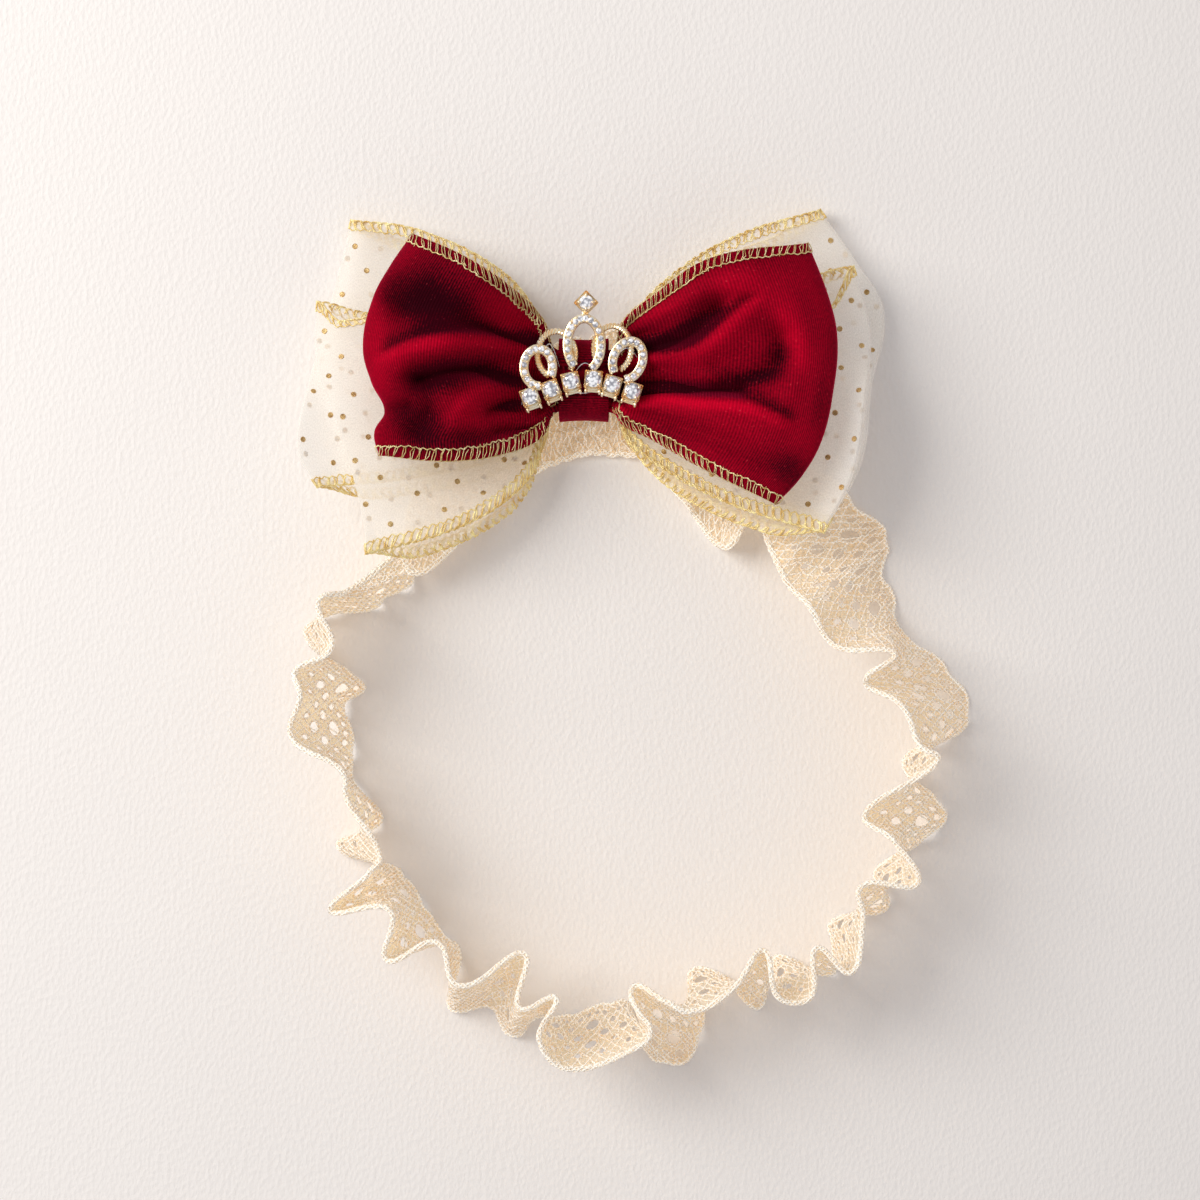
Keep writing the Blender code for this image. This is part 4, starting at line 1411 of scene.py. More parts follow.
@dataclass
class RibbonLoop:
    """A ribbon bent into a loop on each side of the knot."""

    name: str
    node: str
    index: int
    wings: dict[Side, Wing]
    look: Finish
    slot: Slot
    columns: int = 160
    rows: int = 48
    wall: float = 0.0
    ripple: float = 0.0
    gather: float = 0.8
    gathers: float = 6.5
    back_drop: float = 0.0
    drop_starts: tuple[float, float] = (0.0, 0.22)
    drop_ends: tuple[float, float] = (0.15, 0.45)
    eyes: dict[Side, float] = field(default_factory=dict)
    eye_starts: tuple[float, float] = (0.0, 0.10)
    eye_ends: tuple[float, float] = (0.14, 0.42)
    creases: tuple[Crease, ...] = ()
    patches: tuple[Patch, ...] = ()
    pile: float = 0.0
    # Painted highlight on ridges and painted shade in valleys, per mm of crease height.
    crease_painted_light: float = 0.06
    flat_width: float = 56.0
    flat_length: float = 245.0

    def wing_surface(self, side: Side, out: Array, across: Array, face: Array) -> Array:
        """Points of a wing.

        Args:
            side: Which wing.
            out: Parts of the way from the knot to the outer fold.
            across: Parts of the way from the low to the high edge.
            face: Whether each point is on the face, and not on the back.

        Returns:
            Points in metres.
        """
        layer = LAYERS[self.index]
        wing = self.wings[side]
        x, y = wing.plan(out, across)
        inward = 1.0 - out
        drop = smooth(inward, *self.drop_starts) * smooth(out, *self.drop_ends)
        eye = smooth(inward, *self.eye_starts) * (1.0 - smooth(inward, *self.eye_ends)) * across**5
        y = np.where(face, y - self.eyes.get(side, 0.0) * eye, y - self.back_drop * drop)
        low, high = layer_heights(self.index, x, y)
        low = low + 0.5 * layer.wall
        high = high - 0.5 * layer.wall
        closing = mix(layer.fold_share, 1.0, np.maximum(1.0 - out**layer.squareness, 0.0) ** 0.45)
        fold_height = mix(low, high, 0.45)
        room = np.maximum(high - low - 1.9 * layer.wall, 0.0)
        valley = np.minimum(wing.valley(out, across) - relief(self.creases, x, y), room)
        ripple = self.ripple * np.sin(9.0 * across + 5.0 * out * side.value) * np.sin(math.pi * out)
        ripple = ripple * np.sin(23.0 * across - 4.0 * out)
        gather = self.gather * np.sin(math.tau * self.gathers * across + 1.5 * side.value + 2.0 * out)
        gather = gather * smooth(out, 0.03, 0.16) * (1.0 - smooth(out, 0.30, 0.95))
        height = np.where(face, mix(fold_height, high - valley + ripple + gather, closing),
                          mix(fold_height, low + 0.5 * ripple + 0.7 * gather, closing))
        return CHART.to_frame(x, y, height)

    def ring(self, part: Array, across: Array) -> Array:
        """Points round the whole loop: right face, right back, left back and left face, a quarter each.

        Args:
            part: Parts of the way round, from 0 to 1.
            across: Parts of the way from the low to the high edge.

        Returns:
            Points in metres.
        """
        quarter = np.clip((part * 4.0).astype(int), 0, 3)
        local = part * 4.0 - quarter
        out = np.where(quarter % 2 == 0, local, 1.0 - local)
        even = 1.0 - (1.0 - out) ** 1.35
        face = (quarter == 0) | (quarter == 3)
        right = self.wing_surface(Side.RIGHT, even, across, face)
        left = self.wing_surface(Side.LEFT, even, across, face)
        return np.where((quarter < 2)[:, None], right, left)

    def cloth(self) -> Piece:
        """The ribbon itself.

        Returns:
            The piece.
        """
        flat = (self.flat_length, self.flat_width)
        shape = grid_shape(self.columns, self.rows, self.ring, flat, closed=True)
        piece = new_piece(shape, self.name, self.look)
        if self.pile:
            x, y = CHART.seen(np.array([vert.co for vert in piece.data.vertices]) / MM)
            # The stored tone is painted: shade and highlights in patches, along creases and by sharp ridges.
            tone = patch_painted_light_and_shade(self.patches, x, y, self.pile) + self.crease_painted_light * relief(self.creases, x, y)
            store_painted_shade(piece, np.clip(tone + ridge_painted_highlight_and_shade(self.creases, x, y), 0.0, 1.0))
        if self.wall:
            thicken(piece, self.wall)
        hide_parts(self.node)
        return piece

    def width_at(self, side: Side, out: Array, face: bool) -> Array:
        """Width of a wing.

        Args:
            side: Which wing.
            out: Parts of the way from the knot to the outer fold.
            face: Whether it is the face, and not the back.

        Returns:
            The widths in mm.
        """
        faces = np.full(out.shape, face)
        ends = [self.wing_surface(side, out, np.full(out.shape, end), faces) for end in (0.0, 1.0)]
        return np.linalg.norm(ends[1] - ends[0], axis=-1) / MM

    def frame_at(self, side: Side, out: Array, across: Array, face: bool) -> tuple[Array, Array]:
        """Points of the ribbon, and the way that its surface looks there.

        Args:
            side: Which wing.
            out: Parts of the way from the knot to the outer fold.
            across: Parts of the way from the low to the high edge.
            face: Whether it is the face, and not the back.

        Returns:
            Points in metres, and unit normals that point away from the inside of the loop.
        """
        faces = np.full(out.shape, face)
        step = 0.004
        here = self.wing_surface(side, out, across, faces)
        ahead = self.wing_surface(side, np.minimum(out + step, 1.0), across, faces)
        ahead = ahead - self.wing_surface(side, np.maximum(out - step, 0.0), across, faces)
        inward = np.clip(across, step, 1.0 - step)
        over = self.wing_surface(side, out, inward + step, faces)
        over = over - self.wing_surface(side, out, inward - step, faces)
        normal = unit(np.cross(ahead, over)) * side.value
        return here, normal * (1.0 if face else -1.0)


class Edge(NamedTuple):
    """One of the edges that are stitched: on which wing, the high or the low one, of the face or the back."""

    side: Side
    high: bool
    face: bool


ALL_EDGES = tuple(Edge(side, high, face) for side in Side for high in (False, True) for face in (True, False))
STITCH_ROUND_EDGE = ((1.0, 1.0), (0.55, 1.25), (0.0, 0.9), (-0.28, -0.1), (0.1, -1.1), (0.6, -1.0))


@dataclass
class EdgeStitching:
    """The stitched edge of a ribbon: running threads, and slanted ones that go round the edge.

    STITCH_ROUND_EDGE has the way of a slanted thread, as shares of the reach from the edge and of the lift.
    """

    loop: RibbonLoop
    name: str
    reach: float
    pitch: float
    radius: float
    lift: float
    waver: float
    start: float = 0.12
    slant: float = 0.22
    uneven: float = 0.06
    wander: float = 0.12
    running: tuple[float, ...] = (1.0, 0.06)
    running_radius: float = 0.15
    bundle: tuple[float, ...] = (-0.08, 0.16)

    def near_edge(self, edge: Edge, out: Array, inside: Array) -> tuple[Array, Array]:
        """Points near an edge.

        Args:
            edge: The edge.
            out: Their parts of the way out.
            inside: How far in from the edge they lie, in mm.

        Returns:
            The points, in metres, and the normals there.
        """
        across = inside / np.maximum(self.loop.width_at(edge.side, out, edge.face), 1.0)
        return self.loop.frame_at(edge.side, out, 1.0 - across if edge.high else across, edge.face)

    def stations(self, edge: Edge) -> Array:
        """Where the stitches lie, a pitch apart.

        Args:
            edge: The edge.

        Returns:
            Parts of the way out, one for each stitch.
        """
        fine = np.linspace(self.start, 1.0, 200)
        line, _ = self.near_edge(edge, fine, np.zeros_like(fine))
        runs = path_length(line) / MM
        count = max(int(runs[-1] / self.pitch), 2)
        return np.interp(np.linspace(0.0, runs[-1], count + 1), runs, fine)

    def threads(self, edge: Edge, chance: np.random.Generator) -> tuple[list[Array], list[Array]]:
        """The threads along one edge.

        Args:
            edge: The edge.
            chance: Where the small unevenness of the stitches comes from.

        Returns:
            The slanted threads and the running ones, as paths in metres.
        """
        at = self.stations(edge)
        count = len(at)
        slanted = []
        for offset in self.bundle:
            lines = []
            for order, (inside, lift) in enumerate(STITCH_ROUND_EDGE):
                uneven = chance.normal(0.0, self.uneven, (2, count))
                places = np.arange(count) + offset + self.slant * order + uneven[0]
                shifted = np.interp(places, np.arange(count), at)
                reach = (inside + uneven[1]) * self.reach
                here, normal = self.near_edge(edge, shifted, reach)
                lines.append(here + normal * (lift * self.lift) * MM)
            slanted += [np.array([line[index] for line in lines]) for index in range(count)]
        fine = np.interp(np.linspace(0.0, count - 1.0, 4 * count), np.arange(count), at)
        steps = np.arange(4 * count)
        wave = np.sin(steps * 0.5 * math.pi)
        running = []
        for inside in self.running:
            wander = np.interp(steps, steps[::4], chance.normal(0.0, self.wander, count))
            reach = inside * self.reach + self.waver * wave + wander
            here, normal = self.near_edge(edge, fine, reach)
            running.append(here + normal * (self.lift + 0.9 * self.radius) * MM)
        return slanted, running

    def build(self, look: Finish) -> Piece:
        """Stitch all the ribbon's edges.

        Args:
            look: The thread's finish.

        Returns:
            The stitching as one piece.
        """
        slanted = []
        running = []
        chance = np.random.default_rng(7)
        for edge in ALL_EDGES:
            threads, lines = self.threads(edge, chance)
            slanted += threads
            running += lines
        bundles = ((slanted, self.radius), (running, self.running_radius))
        return thread_piece(self.name, look, bundles, rounds=1)


@dataclass
class GlitterDots:
    """Small foil dots scattered in a staggered grid over a sheer ribbon."""

    loop: RibbonLoop
    name: str
    radius: float = 0.62
    thickness: float = 0.12
    spacing: float = 10.0
    kept: tuple[float, float] = (0.07, 0.93)
    face_shift: float = 0.27

    def build(self) -> Piece:
        """Lay the dots on both wings, face and back.

        Returns:
            The piece.
        """
        shape = bmesh.new()
        columns = int(self.loop.flat_length / 4.0 / (0.5 * self.spacing))
        rows = int(self.loop.flat_width / self.spacing) + 1
        for side in Side:
            for face in (True, False):
                for column in range(4, columns):
                    shift = 0.5 * (column % 2) + (self.face_shift if face else 0.0)
                    across = (np.arange(rows) + 0.3 + shift) * self.spacing / self.loop.flat_width
                    across = across[(across > self.kept[0]) & (across < self.kept[1])]
                    drift = 0.02 * np.sin(37.0 * across + 11.0 * column)
                    out = np.clip((column + 0.5) / columns + drift, 0.0, 0.99)
                    self.lay(shape, side, out, across, face)
        look = MetalThread(name="gold_dots", light=(0.86, 0.62, 0.28, 1.0), deep=(0.42, 0.24, 0.08, 1.0),
                           metallic=0.7)
        return new_piece(shape, self.name, look)

    def lay(self, shape: BMesh, side: Side, out: Array, across: Array, face: bool) -> None:
        """Lay a row of dots.

        Args:
            shape: The bmesh they are added to.
            side: Which wing.
            out: Their parts of the way out.
            across: Their parts of the way across.
            face: Whether they are on the face.
        """
        here, normal = self.loop.frame_at(side, out, across, face)
        for point, up in zip(here, normal):
            turn = Vector((0.0, 0.0, 1.0)).rotation_difference(Vector(up)).to_matrix().to_4x4()
            spot = Vector(point) + Vector(up) * (self.thickness * MM)
            bmesh.ops.create_cone(shape, cap_ends=True, segments=10, radius1=self.radius * MM,
                                  radius2=0.9 * self.radius * MM, depth=self.thickness * MM,
                                  matrix=Matrix.Translation(spot) @ turn)


ORGANZA_LOWER = {
    Side.LEFT: Wing(
        low_edge=places((-12.5, 35.0), (-20.0, 30.5), (-40.0, 26.0), (-60.0, 24.0)),
        high_edge=places((-12.0, 58.5), (-20.5, 69.5), (-38.0, 78.5), (-52.8, 80.8)),
        fold=places((-64.3, 31.5), (-63.6, 40.0), (-58.5, 58.0)),
        pleats=(Pleat(0.70, 0.66, 0.62, 1.6, 0.1, 0.8, 0.10), Pleat(0.35, 0.38, 0.42, 1.4, 0.1, 0.7, 0.10)),
    ),
    Side.RIGHT: Wing(
        low_edge=places((6.0, 35.0), (14.0, 29.0), (30.0, 21.5), (48.3, 15.8)),
        high_edge=places((5.5, 58.5), (14.5, 68.5), (29.0, 77.5), (46.7, 83.0)),
        fold=places((55.6, 29.0), (57.9, 45.7), (60.5, 61.0), (54.5, 72.0)),
        pleats=(Pleat(0.66, 0.62, 0.60, 1.6, 0.1, 0.8, 0.10), Pleat(0.32, 0.36, 0.40, 1.4, 0.1, 0.7, 0.10)),
    ),
}
ORGANZA_UPPER = {
    Side.LEFT: Wing(
        low_edge=places((-12.0, 33.5), (-16.5, 24.5), (-30.0, 15.5), (-49.7, 9.8)),
        high_edge=places((-12.5, 56.5), (-23.0, 62.0), (-40.0, 64.5), (-60.0, 63.5)),
        fold=places((-51.0, 20.0), (-56.0, 38.0), (-60.5, 52.0)),
        pleats=(Pleat(0.62, 0.60, 0.58, 1.6, 0.1, 0.8, 0.10), Pleat(0.25, 0.30, 0.36, 1.6, 0.1, 0.7, 0.10)),
    ),
    Side.RIGHT: Wing(
        low_edge=places((6.0, 34.0), (13.5, 28.0), (28.0, 20.3), (47.5, 14.3)),
        high_edge=places((6.0, 57.0), (17.0, 63.5), (36.0, 71.0), (53.8, 71.0)),
        fold=places((54.0, 27.0), (56.5, 42.0), (57.5, 57.0)),
        pleats=(Pleat(0.62, 0.60, 0.58, 1.6, 0.1, 0.8, 0.10), Pleat(0.30, 0.33, 0.36, 1.6, 0.1, 0.7, 0.10)),
    ),
}
VELVET_WINGS = {
    Side.LEFT: Wing(
        low_edge=places((-12.5, 34.8), (-19.0, 31.6), (-32.0, 29.6), (-46.5, 30.8)),
        high_edge=places((-12.0, 59.4), (-18.5, 66.0), (-29.0, 73.2), (-39.5, 77.7)),
        fold=places((-47.6, 35.5), (-45.4, 40.2), (-48.2, 46.4), (-50.0, 54.0), (-48.0, 63.8), (-44.2, 71.0)),
    ),
    Side.RIGHT: Wing(
        low_edge=places((5.0, 37.3), (11.0, 34.4), (22.0, 28.0), (37.0, 20.6)),
        high_edge=places((4.6, 58.8), (10.8, 64.4), (24.0, 72.8), (43.8, 75.8)),
        fold=places((42.5, 26.5), (46.8, 34.2), (49.2, 44.5), (50.1, 55.0), (48.5, 63.5)),
    ),
}
VELVET_CREASES = (
    Crease(places((-43.0, 53.0), (-37.0, 55.0), (-30.0, 55.7), (-22.0, 54.9), (-12.0, 52.5)),
           2.2, 1.0, 4.0),
    Crease(places((-41.0, 62.5), (-34.0, 61.5), (-26.0, 59.0), (-14.0, 55.0)), -4.6, 6.0, 4.0),
    Crease(places((-39.0, 47.0), (-32.0, 48.8), (-25.0, 49.0), (-18.0, 46.6), (-10.0, 46.2)),
           -5.2, 2.6, 2.2),
    Crease(places((-31.0, 38.5), (-27.0, 43.0), (-22.0, 44.6), (-15.0, 44.0)), 1.5, 1.6, 3.0),
    Crease(places((-24.0, 40.5), (-18.0, 41.5), (-10.0, 42.0)), -3.0, 1.6, 1.6),
    Crease(places((-39.0, 36.0), (-36.0, 41.0), (-38.0, 46.0)), -2.6, 3.2, 3.2),
    Crease(places((-47.0, 40.0), (-41.0, 41.0)), -1.8, 1.6, 1.6),
    Crease(places((-22.0, 36.0), (-15.0, 37.6), (-9.0, 40.0)), -2.0, 1.3, 1.3),
    Crease(places((-24.0, 64.5), (-16.0, 59.5), (-9.0, 55.5)), 1.0, 2.0, 2.4),
    Crease(places((9.0, 51.8), (16.0, 52.3), (20.0, 53.0), (25.0, 56.5), (31.0, 62.0)),
           2.2, 1.0, 3.6),
    Crease(places((8.0, 54.0), (15.0, 54.6), (20.0, 57.0), (25.0, 61.5)), -4.4, 3.6, 1.8),
    Crease(places((28.0, 67.0), (36.0, 64.0), (41.0, 58.0), (42.5, 51.0), (40.0, 43.5)),
           1.2, 2.6, 2.6),
    Crease(places((27.0, 47.6), (34.0, 47.4), (39.0, 51.5), (39.0, 56.0)), -3.0, 3.2, 2.6),
    Crease(places((3.0, 44.6), (11.0, 44.9), (20.0, 44.5), (30.0, 44.2)), -5.4, 1.9, 1.4),
    Crease(places((6.0, 41.5), (13.0, 43.0), (20.0, 42.3), (31.0, 41.2), (38.0, 38.5)),
           2.2, 0.9, 3.6),
    Crease(places((16.0, 36.0), (26.0, 33.5), (36.0, 29.0)), -1.8, 2.6, 2.6),
    Crease(places((10.0, 60.0), (20.0, 65.5), (32.0, 69.5)), 1.0, 2.2, 3.0),
    Crease(places((6.0, 48.6), (14.0, 48.8), (24.0, 49.6)), -1.6, 1.6, 1.6),
)
# Patches of painted shade in the velvet's hollows and painted highlights on its ridges.
VELVET_PAINTED_LIGHT_AND_SHADE = tuple(Patch(*row) for row in (
    (-35.0, 64.0, 10.5, 8.5, -8.0, -0.26), (-30.0, 34.0, 10.0, 3.2, 4.0, -0.28),
    (-20.5, 61.0, 6.5, 5.0, -30.0, 0.26), (-31.0, 54.6, 12.0, 1.7, 2.0, 0.10),
    (-33.0, 48.0, 8.5, 3.6, 12.0, -0.36), (-21.0, 47.2, 5.5, 1.5, -14.0, -0.40),
    (-27.0, 40.5, 4.5, 4.5, 30.0, 0.15), (-39.5, 38.0, 5.5, 6.0, 20.0, -0.26),
    (-19.5, 41.4, 4.0, 1.6, 8.0, -0.34), (-47.6, 55.0, 2.4, 13.0, 4.0, 0.22),
    (-16.0, 36.0, 4.5, 1.0, 12.0, -0.22), (15.0, 61.0, 5.0, 3.6, 32.0, 0.16),
    (33.0, 67.0, 8.0, 3.5, 14.0, 0.16), (40.5, 57.5, 3.2, 8.0, 12.0, 0.34),
    (38.5, 52.5, 3.0, 3.0, 0.0, -0.24), (33.0, 47.3, 6.0, 1.8, 6.0, -0.30),
    (18.5, 56.8, 6.5, 3.0, 34.0, -0.44), (12.0, 53.2, 4.0, 0.9, 4.0, -0.36),
    (17.0, 45.0, 10.5, 1.5, -2.0, -0.50), (22.0, 42.0, 12.0, 1.5, -6.0, 0.24),
    (29.0, 34.5, 7.0, 4.0, -22.0, 0.10), (40.0, 27.5, 3.5, 4.5, 30.0, -0.28),
    (47.5, 44.0, 1.8, 9.0, -8.0, -0.16), (12.0, 39.0, 5.0, 2.4, -10.0, -0.10),
))


@dataclass
class SheerBows:
    """The two loops of organza with their gold edges and dots."""

    def build(self) -> None:
        """Make both loops."""
        layers = (("lower", ORGANZA_LOWER, {}), ("upper", ORGANZA_UPPER, {Side.RIGHT: 9.0, Side.LEFT: 4.5}))
        for index, (word, wings, eyes) in enumerate(layers):
            loop = RibbonLoop(f"organza_loop_{word}", f"organza_bow_{word}", index, wings, Organza(),
                              Slot.ORGANZA, ripple=0.5, flat_width=57.0, flat_length=245.0, back_drop=3.4,
                              eyes=eyes)
            cloth = loop.cloth()
            stitching = EdgeStitching(loop, f"organza_edge_{word}", reach=2.4, pitch=1.75, radius=0.17,
                                      lift=0.22, waver=0.3, slant=0.3, uneven=0.09)
            # The bright gold thread has a faint painted glow.
            look = MetalThread(name="bright_gold_thread", light=(1.0, 0.88, 0.46, 1.0),
                               deep=(0.72, 0.46, 0.13, 1.0), metallic=0.25, roughness=0.22, painted_glow=0.10)
            edging = stitching.build(look)
            dots = GlitterDots(loop, f"organza_dots_{word}").build()


@dataclass
class VelvetBow:
    """The velvet loop with its stitched edges, and the strap of its knot."""

    wall: float = 0.9
    pile: float = 0.50
    knot_pile: float = 0.30
    knot_squareness: float = 0.42
    knot_waist: float = 0.035
    knot_creases: tuple[tuple[float, float, float], ...] = ((0.12, 17.0, 1.3), (0.09, 31.0, 0.0))

    def knot(self) -> Piece:
        """The strap round the pinch.

        Returns:
            The piece.
        """
        height = np.array(0.5 * (KNOT.low + KNOT.high))
        middle = CHART.to_frame(np.array(KNOT.x), np.array(KNOT.y), height) / MM
        half_length = 0.5 * (KNOT.length - KNOT.wall)
        half_height = 0.5 * (KNOT.high - KNOT.low - KNOT.wall)

        def place(part: Array, across: Array) -> Array:
            """Points round the strap, a rounded box in section.

            Args:
                part: Parts of the way round it, from 0 to 1.
                across: Parts of the way across it.

            Returns:
                Points in metres.
            """
            angle = math.tau * part
            y = half_length * np.sign(np.cos(angle)) * np.abs(np.cos(angle)) ** self.knot_squareness
            z = half_height * np.sign(np.sin(angle)) * np.abs(np.sin(angle)) ** self.knot_squareness
            side = across - 0.5
            waist = 1.0 - self.knot_waist * np.cos(math.pi * side)
            turned = smooth(np.abs(side), 0.40, 0.5)
            crease = sum(depth * np.sin(count * across + shift) for depth, count, shift in self.knot_creases)
            x = middle[0] + side * KNOT.width
            z = middle[2] + z * (1.0 - self.knot_waist * turned) + crease * np.sign(z) * (1.0 - turned)
            return np.stack((x, middle[1] + y * waist, z), axis=-1) * MM

        shape = grid_shape(96, 28, place, (KNOT.flat_length, KNOT.width), closed=True)
        piece = new_piece(shape, "velvet_strap", Velvet())
        store_painted_shade(piece, np.full(len(piece.data.vertices), self.knot_pile))
        thicken(piece, self.wall)
        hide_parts("velvet_knot")
        return piece

    def build(self) -> None:
        """Make the bow."""
        loop = RibbonLoop("velvet_loop", "velvet_bow", 2, VELVET_WINGS, Velvet(), Slot.VELVET,
                          columns=260, rows=80, wall=self.wall, ripple=0.35, gather=0.5, gathers=8.0,
                          flat_width=50.0, flat_length=212.0, creases=VELVET_CREASES,
                          patches=VELVET_PAINTED_LIGHT_AND_SHADE, pile=self.pile)
        cloth = loop.cloth()
        stitching = EdgeStitching(loop, "velvet_edge", reach=2.2, pitch=1.5, radius=0.085, lift=0.62,
                                  waver=0.16, slant=0.36, uneven=0.09, running=(1.0,),
                                  running_radius=0.14, bundle=(-0.12, 0.16))
        edging = stitching.build(MetalThread())
        strap = self.knot()


class Arc(NamedTuple):
    """An elliptical arc of the crown, run clockwise from its start, angles in degrees."""

    x: float
    y: float
    half_width: float
    half_height: float
    lean: float
    start: float
    sweep: float
    stones: int


CROWN_BARS = (
    Arc(-13.1, 49.4, 3.05, 3.95, 0.0, 280.0, 311.0, 13),
    Arc(-3.35, 54.2, 3.6, 5.6, 0.0, 236.0, 303.0, 17),
    Arc(5.9, 50.9, 3.1, 4.2, -20.0, 236.0, 313.0, 13),
)
CROWN_ROPES = (
    Arc(-9.3, 52.2, 4.0, 4.9, 0.0, 245.0, 285.0, 0),
    Arc(2.7, 53.4, 3.95, 4.85, 0.0, 220.0, 285.0, 0),
)
BOTTOM_STONES = places((-14.85, 43.1), (-10.45, 44.7), (-6.19, 46.4),
                       (-1.40, 46.8), (2.60, 45.7), (6.85, 44.3))
TOP_STONE = Place(-2.94, 63.1)
BAR_ROUNDING = 0.16
SEWING = (
    places((-13.6, 52.2), (-11.0, 53.6), (-9.4, 50.6)),
    places((-12.4, 51.6), (-10.6, 54.4), (-8.6, 49.4)),
    places((-5.6, 48.0), (-3.2, 50.4), (-1.0, 48.2)),
    places((-6.4, 44.6), (-3.8, 44.0), (-1.2, 44.4)),
    places((3.2, 50.6), (5.6, 53.6), (8.2, 51.2)),
    places((-16.6, 41.6), (-15.6, 44.8), (-13.2, 44.2)),
)


class Setting(NamedTuple):
    """A setting of the crown: its middle, its stone's radius and its turn."""

    x: float
    y: float
    radius: float
    turn: float


class Section(NamedTuple):
    """A flat bar's section: its width, and the heights of its underside and its top."""

    width: float
    low: float
    high: float


class Claw(NamedTuple):
    """A bead that holds a stone: how far past it and over its girdle the bead lies, and its half-sizes."""

    reach: float
    rise: float
    size: tuple[float, float, float]


class StoneCut(NamedTuple):
    """Heights of a stone's culet, girdle and table, and how many sides its table has."""

    culet: float
    girdle: float
    table: float
    sides: int


def turned_to(x: float, y: float, z: float, turn: float) -> Matrix:
    """The way to a place, turned about the vertical."""
    return Matrix.Translation((x, y, z)) @ Matrix.Rotation(turn, 4, "Z")


def join(shape: BMesh, part: BMesh) -> None:
    """Add one bmesh to another, and free it.

    Args:
        shape: The bmesh that is added to.
        part: The one that is added.
    """
    mesh = bpy.data.meshes.new("part")
    part.to_mesh(mesh)
    part.free()
    shape.from_mesh(mesh)
    bpy.data.meshes.remove(mesh)


def add_bead(shape: BMesh, x: float, y: float, z: float, size: Sequence[float], turn: float = 0.0) -> None:
    """Add a small rounded bead, such as a prong's end."""
    place = turned_to(x, y, z, turn) @ Matrix.Diagonal((*size, 1.0))
    bmesh.ops.create_icosphere(shape, subdivisions=2, radius=1.0, matrix=place)


def round_edges(shape: BMesh, edges: Sequence[bmesh.types.BMEdge], offset: float) -> None:
    """Round edges with two segments."""
    bmesh.ops.bevel(shape, geom=edges, offset=offset, segments=2, profile=0.5, affect="EDGES", material=-1)


def turn_between(start: Vector, end: Vector) -> float:
    """The direction from one place to another, seen from above."""
    ahead = (end - start).normalized()
    return math.atan2(ahead.y, ahead.x)


def sweep(shape: BMesh, path: Sequence[Vector], section: Section) -> None:
    """Extrude a flat bar's section along a level path.

    Args:
        shape: The bmesh that it is added to.
        path: The bar's middle line.
        section: The section.
    """
    width, low, high = section
    bar = bmesh.new()
    turn = turn_between(path[0], path[1])
    start = bmesh.ops.create_grid(bar, x_segments=1, y_segments=1, size=0.5)["verts"]
    stand = Matrix(((0, 0, 1, 0), (1, 0, 0, 0), (0, 1, 0, 0), (0, 0, 0, 1)))
    size = Matrix.Diagonal((1.0, width, high - low, 1.0))
    to_start = turned_to(path[0].x, path[0].y, 0.5 * (low + high), turn)
    bmesh.ops.transform(bar, matrix=to_start @ size @ stand, verts=start)
    front = list(bar.faces)
    for index in range(1, len(path)):
        new_turn = turn_between(path[index - 1], path[min(index + 1, len(path) - 1)])
        out = bmesh.ops.extrude_face_region(bar, geom=front)["geom"]
        if index > 1:
            bmesh.ops.delete(bar, geom=front, context="FACES_ONLY")
        back = Matrix.Translation(-path[index - 1])
        step = Matrix.Translation(path[index]) @ Matrix.Rotation(new_turn - turn, 4, "Z") @ back
        verts = [item for item in out if isinstance(item, bmesh.types.BMVert)]
        bmesh.ops.transform(bar, matrix=step, verts=verts)
        front = [item for item in out if isinstance(item, bmesh.types.BMFace)]
        turn = new_turn
    bmesh.ops.recalc_face_normals(bar, faces=bar.faces)
    sharp = [edge for edge in bar.edges if edge.is_manifold and edge.calc_face_angle(0.0) > 1.0]
    round_edges(bar, sharp, BAR_ROUNDING * width)
    join(shape, bar)


def add_stone(shape: BMesh, setting: Setting, cut: StoneCut) -> None:
    """Add a brilliant-cut stone.

    Args:
        shape: The bmesh that it is added to.
        setting: Where it lies, and its girdle's radius.
        cut: How it is cut.
    """
    stone = bmesh.new()
    shoulder = mix(cut.girdle, cut.table, 0.58)
    middle = mix(cut.culet, cut.girdle, 0.5)
    half_girdle = 0.04 * setting.radius
    rings = (
        (0.56, cut.table, 1, 0.5),
        (0.82, shoulder, 1, 0.0),
        (1.0, cut.girdle + half_girdle, 2, 0.25),
        (1.0, cut.girdle - half_girdle, 2, 0.25),
        (0.5, middle, 1, 0.5),
        (0.06, cut.culet, 1, 0.5),
    )
    for reach, height, times, shift in rings:
        place = turned_to(setting.x, setting.y, height, setting.turn + shift * math.tau / cut.sides)
        bmesh.ops.create_circle(stone, segments=times * cut.sides, radius=reach * setting.radius,
                                matrix=place)
    bmesh.ops.convex_hull(stone, input=list(stone.verts))
    bmesh.ops.dissolve_limit(stone, angle_limit=math.radians(2.0), verts=stone.verts, edges=stone.edges)
    bmesh.ops.recalc_face_normals(stone, faces=stone.faces)
    join(shape, stone)


